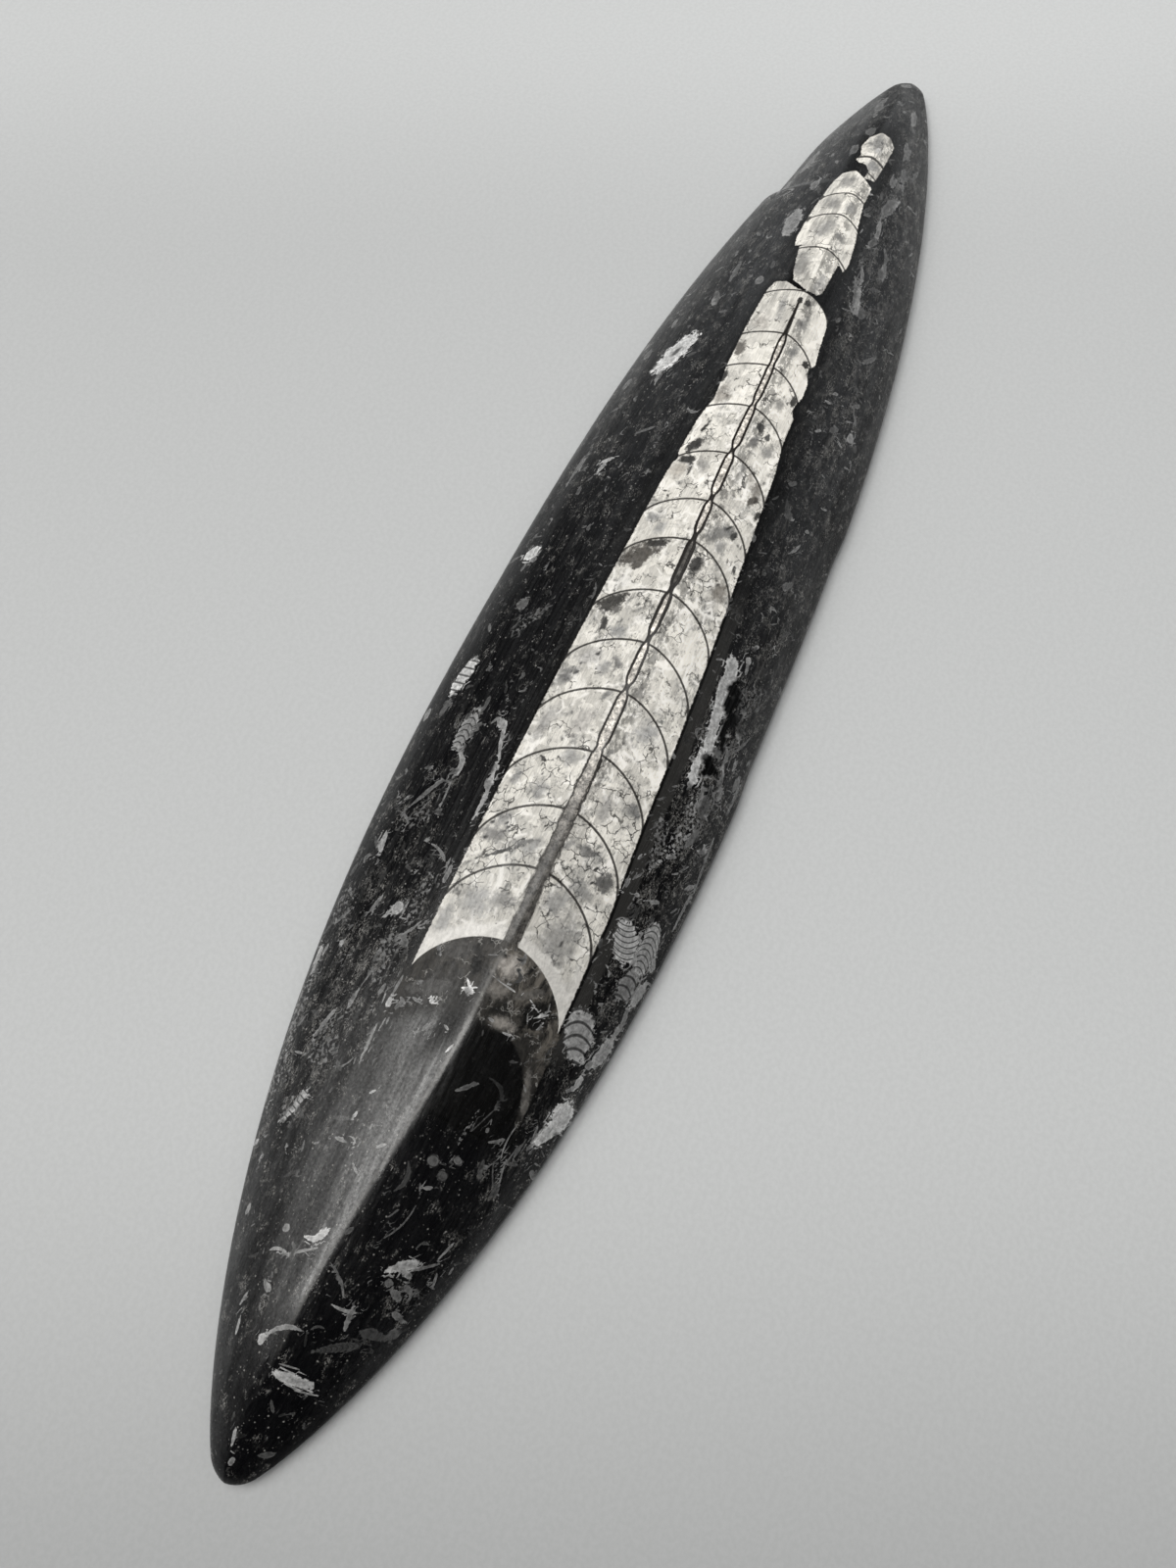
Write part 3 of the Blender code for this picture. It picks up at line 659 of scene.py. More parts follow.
def place_in_shell(x, y):
    """Place along the shell, distance from the tube's middle and how steeply the place changes.

    The place is x plus the sweep of the walls there, which grows from the tube to the edge as one less
    (1 - u squared) to a root, u being the share of the way from the tube to the edge.
    """
    middle = along(TUBE_ROUTE, x)
    off = y - middle
    reach = np.where(off > 0, along(EDGE_LEFT, x) - middle, middle - along(EDGE_RIGHT, x))
    sweep = np.where(off > 0, along(SWEEP_LEFT, x), along(SWEEP_RIGHT, x))
    u = np.clip(np.abs(off) / reach, 0.0, NEARLY_ALL)
    place = x + sweep * (1 - (1 - u * u) ** SWEEP_ROOT)
    slope = sweep * 2 * SWEEP_ROOT * u * (1 - u * u) ** (SWEEP_ROOT - 1) / reach
    return place, off, np.sqrt(1 + np.minimum(slope, STEEPEST_WALL) ** 2)


def shell_fields(x, y):
    """Smooth fields that the shell is drawn from, at each point.

    chamber is whole at each wall between chambers, and chamber_span is its unit in millimetres straight
    across the walls. tube holds the distance from the tube's middle, its half width, pinched by a bell past
    each wall, and its lining's half width. edges holds the distance inside the shell's pieces, inside the
    mud of the open chamber, and past the keel.
    """
    place, off, steep = place_in_shell(x, y)
    walls = np.array(SEPTA)
    count = np.arange(len(walls))
    chamber = np.interp(place, walls, count)
    chamber = np.where(place < walls[0], (place - walls[0]) / MOUTH_UNIT, chamber)
    chamber = np.where(place > walls[-1], count[-1] + (place - walls[-1]) / TIP_UNIT, chamber)
    span = np.interp(place, (walls[1:] + walls[:-1]) / 2, np.diff(walls)) / steep
    half = along(TUBE_HALF, x)
    for wall in PINCHED_WALLS:
        bell = np.exp(-((x - wall - PINCH_BEYOND) / PINCH_LENGTH) ** 2)
        half = half * (1 - along(TUBE_PINCH, wall) * bell)
    shell = np.full(x.shape, -FAR_OFF)
    for outline in SHELL_PIECES.values():
        shell = np.maximum(shell, edge_depth(x, y, outline))
    mud = edge_depth(x, y, MUD_OUTLINE)
    return {
        "chamber": chamber,
        "chamber_span": span,
        "tube": np.stack([off, half, along(TUBE_LINING, x)], axis=-1),
        "tube_fill": eye_to_paint(along(TUBE_FILL, x)),
        "edges": np.stack([shell, mud, y - keel_y(x)], axis=-1),
    }


def stain_fields(x, y, chamber):
    """The nearest stain at each point: how far out it is, 1 at its edge, its paint and its brownness.

    Past a wall of its own chamber a stain's distance out jumps past its edge, and then grows with the
    distance.
    """
    nearest = np.full(x.shape, STAIN_REACH)
    tone = np.zeros(x.shape)
    brown = np.zeros(x.shape)
    for cell, stains in STAINS.items():
        walls_off = np.maximum(cell - chamber, chamber - cell - 1) * CHAMBER_LENGTH
        at_walls = (walls_off >= -STAIN_CLEAR_OF_WALL) & (cell >= 0)
        for cx, cy, half_long, half_wide, turn, stain_tone, stain_brown in stains:
            u, v = turned(x, y, cx, cy, half_long, half_wide, turn)
            out = np.sqrt(u * u + v * v)
            out = np.where(at_walls, np.maximum(out, STAIN_AT_WALL + walls_off), out)
            nearer = out < nearest
            nearest = np.where(nearer, out, nearest)
            tone = np.where(nearer, eye_to_paint(stain_tone), tone)
            brown = np.where(nearer, stain_brown, brown)
    return {"stain": np.stack([nearest, tone, brown], axis=-1)}


def rock_fields(x, y):
    """How busy and how grey the rock is: each area's amounts, weighed by a bell round its middle."""
    weight, plain_busy, plain_grey = PLAIN_ROCK
    weight = np.full(x.shape, weight)
    busy = weight * plain_busy
    grey = weight * plain_grey
    for cx, cy, reach_x, reach_y, area_busy, area_grey in ROCK_AREAS:
        near = np.exp(-((x - cx) / reach_x) ** 2 - ((y - cy) / reach_y) ** 2)
        weight = weight + near
        busy = busy + near * area_busy
        grey = grey + near * area_grey
    return {"busy": busy / weight, "grey": grey / weight}


def scattered_shards():
    """Small shards strewn at random, more of them where the rock is busy, most lying near one slant.

    Half lengths and their ratio to half widths are bell curves in the logarithm, a third of the shards are
    bent, and a shard is paler where the rock is busy.
    """
    chance = np.random.default_rng(SEED)
    count = DEBRIS * 4
    x = chance.uniform(-DEBRIS_REACH[0], DEBRIS_REACH[0], count)
    y = chance.uniform(-DEBRIS_REACH[1], DEBRIS_REACH[1], count)
    busy = rock_fields(x, y)["busy"]
    kept = chance.uniform(0.0, 1.0, count) < busy
    x, y, busy = x[kept][:DEBRIS], y[kept][:DEBRIS], busy[kept][:DEBRIS]
    long = np.exp(chance.normal(-0.9, 0.55, x.size))
    wide = np.minimum(long * np.exp(chance.normal(-1.35, 0.45, x.size)), WIDEST_DEBRIS)
    turn = np.where(y > 0, 0.0, -18.0) + chance.normal(0.0, 40.0, x.size)
    tone = chance.uniform(0.18, 0.60, x.size) * (0.6 + 0.5 * busy)
    bend = np.where(chance.uniform(0, 1, x.size) < 0.35, chance.normal(0.0, 2.5, x.size), 0.0)
    return list(zip(*(entry.tolist() for entry in (x, y, long, wide, turn, tone, bend))))


def relic_lines(kind, u, v, lines):
    """A count that is whole at each dark line of a small fossil, and a half where it has none.

    The lines run straight across it, or bowed across it, or round its middle as rings.
    """
    if kind == "ribbed":
        return u * lines / 2
    if kind == "stacked":
        return u * lines / 2 + 0.3 * v * v * abs(lines / 2)
    if kind == "ringed":
        return np.sqrt(u * u + v * v) * lines / 2
    return np.full(u.shape, 0.5)


def relic_fields(x, y):
    """The nearest small fossil at each point.

    relic_at holds the place along it and across it, 1 at its ends and sides, and the distance outside it.
    relic_look holds the count that is whole at each line across it, its paint, and how speckled it is. The
    distance is the oval's radius less one over its slope. A bent one is moved sideways by its bend times
    the place along it squared, less a constant that keeps it in the middle.
    """
    nearest = np.full(x.shape, RELIC_REACH)
    place = np.full((x.size, 3), RELIC_REACH)
    look = np.zeros((x.size, 3))
    look[:, 0] = 0.5
    for kind, relics in [*RELICS.items(), ("strewn", scattered_shards())]:
        for cx, cy, half_long, half_wide, turn, tone, *more in relics:
            extra = more[0] if more else 0
            bend = 0 if kind in LINED else extra
            reach = max(half_long, half_wide * (1 + abs(bend))) + RELIC_MARGIN
            close = np.nonzero((np.abs(x - cx) < reach) & (np.abs(y - cy) < reach))[0]
            u, v = turned(x[close], y[close], cx, cy, half_long, half_wide, turn)
            v = v - bend * (u * u - BEND_MIDDLE)
            out = np.sqrt(u * u + v * v) + TINY_SHARE
            gap = (out - 1) * out / (np.sqrt((u / half_long) ** 2 + (v / half_wide) ** 2) + TINY_SHARE)
            nearer = gap < nearest[close]
            rows = close[nearer]
            nearest[rows] = gap[nearer]
            place[rows] = np.stack([u, v, gap], axis=-1)[nearer]
            look[rows, 0] = relic_lines(kind, u, v, extra)[nearer]
            look[rows, 1] = eye_to_paint(tone)
            look[rows, 2] = kind == "speckled"
    return {"relic_at": place, "relic_look": look}


def add_fields(mesh, fields):
    """Stores each field on the mesh's points, one number or a vector for each point."""
    for name, values in fields.items():
        kind, stored = ("FLOAT", "value") if values.ndim == 1 else ("FLOAT_VECTOR", "vector")
        layer = mesh.attributes.new(name, kind, "POINT")
        layer.data.foreach_set(stored, values.astype(np.float32).ravel())


def new_mesh(name, points, quads, triangles):
    """A mesh object with its points in metres, at the origin, shaded smooth."""
    mesh = bpy.data.meshes.new(name)
    mesh.from_pydata((points * MM).tolist(), [], quads.tolist() + triangles.tolist())
    mesh.update()
    mesh.shade_smooth()
    piece = bpy.data.objects.new(name, mesh)
    bpy.context.scene.collection.objects.link(piece)
    return piece


class Pen:
    """Draws one material's pattern. Each method adds its nodes and gives back the socket that they end in.

    A colour is given as four numbers, and a tone is a number from 0 to 1 that the eye reads, in the pen's
    own hue.
    """

    def __init__(self, material, hue=(1.0, 1.0, 1.0)):
        material.use_nodes = True
        self.tree = material.node_tree
        self.shader = self.tree.nodes["Principled BSDF"]
        self.hue = tuple(hue)

    def node(self, kind, **settings):
        """A new node with these settings."""
        node = self.tree.nodes.new(kind)
        for name, value in settings.items():
            setattr(node, name, value)
        return node

    def feed(self, socket, value):
        """Links a socket to another one, or sets it to a constant."""
        if isinstance(value, bpy.types.NodeSocket):
            self.tree.links.new(value, socket)
        else:
            socket.default_value = value

    def set_finish(self, name, value):
        """Feeds one of the shader's own sockets."""
        self.feed(self.shader.inputs[name], value)

    def math(self, operation, *values):
        """One sum, of one to three values."""
        node = self.node("ShaderNodeMath", operation=operation)
        for socket, value in zip(node.inputs, values):
            self.feed(socket, value)
        return node.outputs[0]

    def times(self, product, *others):
        """All the values multiplied together."""
        for other in others:
            product = self.math("MULTIPLY", product, other)
        return product

    def plus(self, first, second):
        """Two values added together."""
        return self.math("ADD", first, second)

    def unsigned(self, value):
        """A value without its sign."""
        return self.math("ABSOLUTE", value)

    def off_whole(self, value):
        """How far a value is past the nearest whole number."""
        return self.math("SUBTRACT", value, self.math("ROUND", value))

    def swing(self, noise, reach):
        """A noise swung by half of reach both ways: the noise times reach, less half of reach."""
        return self.math("MULTIPLY_ADD", noise, reach, -reach / 2)

    def frayed(self, value, noise, reach):
        """A value with a noise's swing added, so that the edge drawn from it is ragged."""
        return self.plus(value, self.swing(noise, reach))

    def step(self, value, low, high, bottom=0.0, top=1.0):
        """A smooth step from bottom, where the value is at low, to top, where it is at high."""
        node = self.node("ShaderNodeMapRange", interpolation_type="SMOOTHSTEP")
        for socket, entry in zip(node.inputs, (value, low, high, bottom, top)):
            self.feed(socket, entry)
        return node.outputs[0]

    def shade(self, tone):
        """The pen's hue at a tone."""
        paint = float(eye_to_paint(tone))
        return opaque(paint * part for part in self.hue)

    def over(self, under, paint, *shares):
        """Paint, a colour or a tone, laid over what is under it, by the product of the shares."""
        node = self.node("ShaderNodeMix", data_type="RGBA")
        self.feed(node.inputs[0], self.times(*shares))
        self.feed(node.inputs[6], under)
        self.feed(node.inputs[7], self.shade(paint) if isinstance(paint, float) else paint)
        return node.outputs[2]

    def blend(self, share, first, second):
        """The first value where the share is 0, the second where it is 1, and between them in between."""
        node = self.node("ShaderNodeMix", data_type="FLOAT")
        self.feed(node.inputs[0], share)
        self.feed(node.inputs[2], first)
        self.feed(node.inputs[3], second)
        return node.outputs[0]

    def grey(self, value):
        """A grey of this brightness."""
        node = self.node("ShaderNodeCombineColor")
        for socket in node.inputs[:3]:
            self.feed(socket, value)
        return node.outputs[0]

    def scaled(self, colour, amount):
        """A colour or a place multiplied by an amount."""
        node = self.node("ShaderNodeVectorMath", operation="SCALE")
        self.feed(node.inputs[0], colour if isinstance(colour, bpy.types.NodeSocket) else tuple(colour[:3]))
        self.feed(node.inputs["Scale"], amount)
        return node.outputs[0]

    def toward(self, place, bearing):
        """How far a place lies along a bearing of unit length."""
        node = self.node("ShaderNodeVectorMath", operation="DOT_PRODUCT")
        self.feed(node.inputs[0], place)
        self.feed(node.inputs[1], bearing)
        return node.outputs["Value"]

    def field(self, name):
        """The mesh's field of one number."""
        return self.node("ShaderNodeAttribute", attribute_name=name).outputs["Fac"]

    def split(self, vector):
        """The three numbers of a vector."""
        node = self.node("ShaderNodeSeparateXYZ")
        self.feed(node.inputs[0], vector)
        return tuple(node.outputs[:3])

    def parts(self, name):
        """The three numbers of the mesh's vector field."""
        return self.split(self.node("ShaderNodeAttribute", attribute_name=name).outputs["Vector"])

    def laid(self, where, stretch=(1, 1, 1), turn=0.0, shift=(0, 0, 0)):
        """The place for a pattern that is packed closer by stretch, turned in degrees and shifted."""
        node = self.node("ShaderNodeMapping")
        self.feed(node.inputs["Vector"], where)
        self.feed(node.inputs["Scale"], stretch)
        self.feed(node.inputs["Rotation"], (0.0, 0.0, math.radians(turn)))
        self.feed(node.inputs["Location"], shift)
        return node.outputs[0]

    def clouds(self, where, size, detail, roughness=0.5, warp=0.0):
        """A noise node: clouds of this size, with their octaves of detail, roughness and warp."""
        node = self.node("ShaderNodeTexNoise")
        settings = {"Scale": 1.0 / size, "Detail": detail, "Roughness": roughness, "Distortion": warp}
        self.feed(node.inputs["Vector"], where)
        for name, value in settings.items():
            self.feed(node.inputs[name], value)
        return node

    def noise(self, *settings):
        """The clouds' level, from 0 to 1."""
        return self.clouds(*settings).outputs[0]

    def warped(self, where, size, amount):
        """The place shifted by a soft noise, so that straight patterns wander."""
        drift = self.scaled(self.clouds(where, size, 2).outputs["Color"], amount)
        node = self.node("ShaderNodeVectorMath", operation="ADD")
        self.feed(node.inputs[0], where)
        self.feed(node.inputs[1], drift)
        return node.outputs[0]

    def voronoi(self, where, size, feature):
        """What a node of irregular cells of this size gives."""
        node = self.node("ShaderNodeTexVoronoi", feature=feature)
        self.feed(node.inputs["Vector"], where)
        self.feed(node.inputs["Scale"], 1.0 / size)
        return node.outputs

    def cells(self, where, size):
        """Irregular cells: a random tone for each, and the distance from its middle."""
        found = self.voronoi(where, size, "F1")
        tone = self.node("ShaderNodeSeparateColor")
        self.feed(tone.inputs[0], found["Color"])
        return tone.outputs[0], found["Distance"]

    def cell_edges(self, where, size, wide, narrow):
        """Thin lines along the edges of irregular cells, full out to narrow and gone at wide."""
        return self.step(self.voronoi(where, size, "DISTANCE_TO_EDGE")["Distance"], wide, narrow)

    def contour(self, noise, wide, narrow):
        """Worm-like lines along a noise's middle level, full as far off it as narrow and gone at wide."""
        return self.step(self.unsigned(self.math("SUBTRACT", noise, 0.5)), wide, narrow)

    def dots(self, where, size, rare, wide, narrow, more=0.0):
        """A dot in each cell whose tone plus more is past rare, full out to narrow and gone at wide."""
        tone, off_middle = self.cells(where, size)
        chosen = self.step(self.plus(tone, more), rare, rare + 0.04)
        return self.times(self.step(off_middle, wide, narrow), chosen)


def opaque(colour):
    """A colour of three numbers as four, the last being full strength."""
    return tuple(colour) + (1.0,)


def read_stone(pen):
    """All that the paints read: the place in millimetres, the fields, and two noises that fray edges."""
    at = SimpleNamespace()
    at.spot = pen.scaled(pen.node("ShaderNodeTexCoord").outputs["Object"], 1 / MM)
    at.height = pen.split(at.spot)[2]
    at.shell, at.mud, at.off_keel = pen.parts("edges")
    at.tube_off, at.tube_half, at.lining_half = pen.parts("tube")
    at.chamber = pen.field("chamber")
    at.span = pen.field("chamber_span")
    at.tube_fill = pen.field("tube_fill")
    at.busy = pen.field("busy")
    at.grey = pen.field("grey")
    at.fine = pen.noise(at.spot, 0.55, 3, 0.6)
    at.mottle = pen.noise(pen.laid(at.spot, (0.45, 1.25, 1), -14), 1.5, 5, 0.68, 0.4)
    return at


def calcite_paint(pen, looks, at):
    """White calcite: crystal grains, glassy clouds, blots, fibres and seams, and whiter towards the far end.

    Clouds, blots, seams and highlights fade to a quarter between chambers 8.5 and 12.
    """
    grain, _ = pen.cells(pen.warped(at.spot, 1.6, 1.5), 2.3)
    calcite = pen.scaled(looks.calcite, pen.step(grain, 0.0, 1.0, 0.80, 1.12))
    calm = pen.step(at.chamber, 8.5, 12.0, 1.0, 0.25)
    cloud = pen.noise(at.spot, 4.2, 5, 0.66, 0.6)
    dapple = pen.noise(pen.laid(at.spot, (0.8, 1.3, 1)), 1.15, 5, 0.70, 0.3)
    glassy = pen.times(pen.step(cloud, 0.47, 0.63), pen.step(dapple, 0.38, 0.60, 0.1, 1.0))
    calcite = pen.over(calcite, opaque(looks.glassy), glassy, calm)
    blots = pen.times(pen.step(dapple, 0.55, 0.64), pen.step(cloud, 0.43, 0.58))
    calcite = pen.over(calcite, 0.30, blots, calm, 0.66)
    stipple = pen.step(pen.noise(pen.laid(at.spot, shift=(8, 2, 5)), 0.62, 3, 0.75), 0.50, 0.62)
    stippled = pen.step(pen.noise(pen.laid(at.spot, shift=(3, 12, 6)), 3.0, 4, 0.6), 0.48, 0.60)
    calcite = pen.over(calcite, 0.30, stipple, stippled, calm, 0.62)
    fibres = pen.noise(pen.laid(at.spot, (0.30, 3.2, 1), 14), 0.9, 4, 0.7)
    calcite = pen.scaled(calcite, pen.step(fibres, 0.30, 0.70, 0.82, 1.16))
    seams = pen.cell_edges(pen.warped(at.spot, 3.2, 2.6), 3.2, 0.14, 0.0)
    seamed = pen.step(pen.noise(pen.laid(at.spot, shift=(31, 7, 0)), 3.4, 3), 0.45, 0.60)
    calcite = pen.over(calcite, 0.97, seams, seamed, calm, 0.7)
    highlights = pen.noise(pen.laid(at.spot, (0.6, 1.0, 1), 20, (4, 1, 7)), 2.6, 4, 0.65, 0.8)
    calcite = pen.over(calcite, 0.97, pen.step(highlights, 0.55, 0.68), calm, 0.7)
    # Painted light: the calcite on the -Y side of the tube is painted whiter, for the flank that the lamps
    # light less
    painted_light_off_side = pen.step(at.tube_off, -3.0, 1.5, looks.off_side_painted_light, 1.0)
    calcite = pen.scaled(calcite, pen.times(painted_light_off_side, pen.step(at.chamber, -0.2, 3.0, 0.80, 1.0)))
    calcite = pen.scaled(calcite, pen.step(at.chamber, 6.0, 12.0, 1.0, 1.18))
    return calcite_marks(pen, at, calcite)


def calcite_marks(pen, at, calcite):
    """Dark marks over the calcite: stripes past chamber 11, specks, and hair cracks, most near the mouth."""
    stripes = pen.noise(pen.laid(at.spot, (0.15, 0.85, 1), 4, (2, 2, 2)), 1.5, 4, 0.6)
    calcite = pen.over(calcite, 0.34, pen.step(stripes, 0.51, 0.62), pen.step(at.chamber, 11.0, 13.5), 0.45)
    cracks = pen.cell_edges(pen.warped(pen.laid(at.spot, shift=(5, 17, 3)), 1.3, 1.7), 2.3, 0.050, 0.012)
    cracked = pen.noise(pen.laid(at.spot, shift=(11, 3, 0)), 3.4, 2)
    more = pen.times(pen.step(at.chamber, 3.4, 2.4), pen.step(at.chamber, 0.6, 1.2, 0.0, 0.10))
    calcite = pen.over(calcite, 0.12, cracks, pen.step(pen.plus(cracked, more), 0.53, 0.60), 0.85)
    specks = pen.dots(pen.laid(at.spot, shift=(2, 9, 4)), 1.5, 0.72, 0.13, 0.04)
    return pen.over(calcite, 0.10, specks, 0.8)


def rock_paint(pen, looks, at):
    """Black limestone: grey mottles, worm-like pale lines, curls, crumbs and dust, more where it is busy."""
    fleck = opaque(looks.rock_fleck)
    woolly = pen.noise(pen.laid(at.spot, (0.6, 1.2, 1), -14), 1.2, 7, 0.8, 0.5)
    amount = pen.step(pen.plus(at.grey, pen.times(at.busy, 0.12)), 0.0, 0.9, 0.02, 0.9)
    rock = pen.over(opaque(looks.rock), fleck, pen.step(woolly, 0.48, 0.70), amount)
    veil = pen.noise(pen.laid(at.spot, (0.6, 1.1, 1), -8), 5.0, 6, 0.7)
    rock = pen.over(rock, fleck, pen.step(veil, 0.38, 0.62, 0.1, 1.0), at.grey, 0.40)
    smudge = pen.noise(pen.laid(at.spot, (0.5, 1.0, 1), -6, (6, 1, 2)), 3.4, 6, 0.72, 0.5)
    rock = pen.over(rock, 0.42, pen.step(smudge, 0.55, 0.68), pen.step(at.grey, 0.15, 0.50), 0.45)
    patch = pen.noise(pen.laid(at.spot, (0.7, 1.2, 1), -10, (3, 8, 0)), 2.2, 5, 0.7)
    patch = pen.step(pen.plus(patch, pen.times(at.busy, 0.16)), 0.59, 0.70)
    worms = pen.noise(pen.laid(at.spot, (0.75, 1.15, 1), -16, (7, 3, 0)), 0.85, 2, 0.5, 1.6)
    rock = pen.over(rock, 0.56, pen.contour(worms, 0.040, 0.012), patch, 0.50)
    crumbs = pen.noise(pen.laid(at.spot, (0.8, 1.5, 1), -20, (1, 13, 0)), 0.42, 3, 0.7, 0.6)
    crumbs = pen.step(pen.plus(crumbs, pen.times(at.busy, 0.05)), 0.61, 0.65)
    rock = pen.over(rock, 0.56, crumbs, patch, 0.75)
    curls = pen.noise(pen.laid(at.spot, (0.6, 1.1, 1), 18, (3, 21, 0)), 2.2, 2, 0.5, 1.8)
    curled = pen.step(pen.noise(pen.laid(at.spot, shift=(9, 9, 1)), 4.0, 2), 0.48, 0.58)
    rock = pen.over(rock, 0.50, pen.contour(curls, 0.014, 0.004), curled, pen.step(at.busy, 0.2, 0.9), 0.7)
    for size, rare, strength in DUST:
        place = pen.laid(at.spot, shift=(4, 4, size * 9))
        dust = pen.dots(place, size, rare, 0.26, 0.08, pen.times(at.busy, 0.20))
        rock = pen.over(rock, 0.60, dust, strength)
    return rock


def beside_shell(pen, at, rock):
    """The rock by the shell: dark close to it, a grey band on its -Y side and a black line on its edge."""
    close = pen.frayed(at.shell, at.mottle, 1.0)
    rock = pen.over(rock, 0.06, pen.step(close, -5.5, -0.8), pen.step(at.chamber, 3.0, 9.0, 0.35, 0.75))
    rock = pen.over(rock, 0.07, pen.step(close, -1.1, -0.4), 0.85)
    band = pen.times(pen.step(close, -2.7, -2.3), pen.step(at.tube_off, 1.0, 0.0))
    from_mouth = pen.times(pen.step(at.chamber, 8.0, 6.0), pen.step(at.chamber, -0.6, -0.1))
    rock = pen.over(rock, 0.21, band, from_mouth, 0.85)
    return pen.over(rock, 0.05, pen.step(pen.unsigned(pen.plus(at.shell, 0.28)), 0.32, 0.12), 0.9)


def relic_paint(pen, at, under):
    """Lays the small fossils over the stone: ragged ovals crossed by dark lines, some only crumbs."""
    along_it, across_it, gap = pen.parts("relic_at")
    lines, paint, speckled = pen.parts("relic_look")
    radius = pen.math("SQRT", pen.plus(pen.math("POWER", along_it, 2.0), pen.math("POWER", across_it, 2.0)))
    crag = pen.noise(pen.laid(at.spot, shift=(5, 2, 8)), 1.5, 5, 0.7)
    ragged = pen.frayed(pen.frayed(radius, at.fine, 0.7), crag, 1.5)
    grain = pen.noise(at.spot, 0.7, 5, 0.75)
    tone = pen.times(paint, pen.step(grain, 0.3, 0.7, 0.50, 1.40), pen.step(radius, 0.5, 0.95, 0.85, 1.15))
    line = pen.step(pen.unsigned(pen.off_whole(lines)), 0.17, 0.07)
    tone = pen.blend(pen.times(line, 0.85), tone, 0.018)
    crumbs = pen.step(pen.noise(pen.laid(at.spot, shift=(1, 6, 0)), 0.6, 2), 0.50, 0.58)
    solid = pen.blend(speckled, 1.0, crumbs)
    return pen.over(under, pen.grey(tone), pen.step(ragged, 1.08, 0.92), pen.step(gap, 0.75, 0.5), solid)


def mud_paint(pen, looks, at):
    """Hardened mud: brown-grey and cloudy on the keel's -Y side, darker on the other, with hair seams."""
    dregs = pen.noise(pen.laid(at.spot, (0.6, 1.1, 1), -60), 1.7, 5, 0.7, 0.8)
    beyond_mouth = pen.frayed(at.chamber, dregs, 0.8)
    pale = pen.step(at.off_keel, 1.2, -0.8, 0.26, 1.0)
    pale = pen.times(pale, pen.step(beyond_mouth, -0.95, -0.25, 0.20, 1.0))
    mud = pen.over(pen.shade(0.15), opaque(looks.mud), pen.step(dregs, 0.34, 0.68), pale)
    seams = pen.cell_edges(pen.warped(at.spot, 0.9, 2.2), 2.0, 0.05, 0.01)
    seamed = pen.step(pen.noise(pen.laid(at.spot, shift=(2, 2, 2)), 2.6, 2), 0.50, 0.62)
    return pen.over(mud, 0.62, seams, seamed, 0.6)


def white_mouth(pen, at):
    """Where the calcite is chalk white: a crescent 2 mm deep along the mouth, and its horn at -Y."""
    from_mouth = pen.frayed(pen.times(at.chamber, at.span), at.mottle, 0.9)
    horn = pen.times(pen.step(at.shell, 1.9, 0.9), pen.step(at.tube_off, -9.0, -10.5))
    horn = pen.times(horn, pen.step(at.chamber, 0.80, 0.60))
    return pen.math("MAXIMUM", pen.step(from_mouth, 2.5, 1.5), horn)


def stain_paint(pen, looks, at):
    """A stain's share and its paint: soft and wandering at its edge, and the crisper the darker it is."""
    out, tone, brown = pen.parts("stain")
    softness = pen.step(tone, 0.02, 0.26, 0.26, 0.62)
    edge = pen.frayed(out, pen.noise(at.spot, 1.3, 6, 0.75), 3.0)
    share = pen.step(edge, pen.plus(softness, 1.0), pen.math("SUBTRACT", 1.0, softness))
    share = pen.times(share, pen.step(tone, 0.02, 0.26, 0.95, 0.75))
    tone = pen.times(tone, pen.step(pen.noise(at.spot, 0.8, 4, 0.65), 0.3, 0.7, 0.6, 1.4))
    return share, pen.over(pen.grey(tone), pen.scaled(looks.stain, tone), brown)


def shell_lines(pen, looks, at, calcite):
    """The walls between chambers, the tube with its filling and lining, and the necks that pinch it."""
    wall_paint = opaque(looks.wall)
    half_wall = looks.wall_width / MM / 2
    off_wall = pen.unsigned(pen.frayed(pen.times(pen.off_whole(at.chamber), at.span), at.fine, 0.16))
    wall = pen.step(off_wall, half_wall + 0.09, half_wall - 0.07)
    calcite = pen.over(calcite, wall_paint, wall, pen.step(at.chamber, 0.5, 0.55), 0.93)

    in_tube = pen.frayed(pen.math("SUBTRACT", at.tube_half, pen.unsigned(at.tube_off)), at.fine, 0.2)
    wobble = pen.times(pen.swing(at.mottle, 1.8), pen.step(at.chamber, 3.6, 2.4))
    in_tube = pen.plus(in_tube, wobble)
    grains = pen.step(pen.noise(at.spot, 0.7, 5, 0.8), 0.32, 0.68, 0.25, 1.8)
    lumps = pen.noise(pen.laid(at.spot, shift=(6, 6, 6)), 1.7, 4, 0.7)
    fill = pen.times(at.tube_fill, grains, pen.step(lumps, 0.38, 0.62, 0.62, 1.45))
    calcite = pen.over(calcite, pen.scaled(TUBE_HUE, fill), pen.step(in_tube, -0.05, 0.1))
    lining = pen.step(pen.math("SUBTRACT", pen.unsigned(in_tube), at.lining_half), 0.08, -0.06)
    calcite = pen.over(calcite, wall_paint, lining, pen.step(at.chamber, 0.0, 3.0, 0.55, 1.0))
    neck = pen.times(pen.step(at.tube_half, 0.34, 0.22), pen.step(pen.unsigned(at.tube_off), 0.55, 0.38))
    return pen.over(calcite, wall_paint, neck, pen.step(at.chamber, 12.4, 12.0))


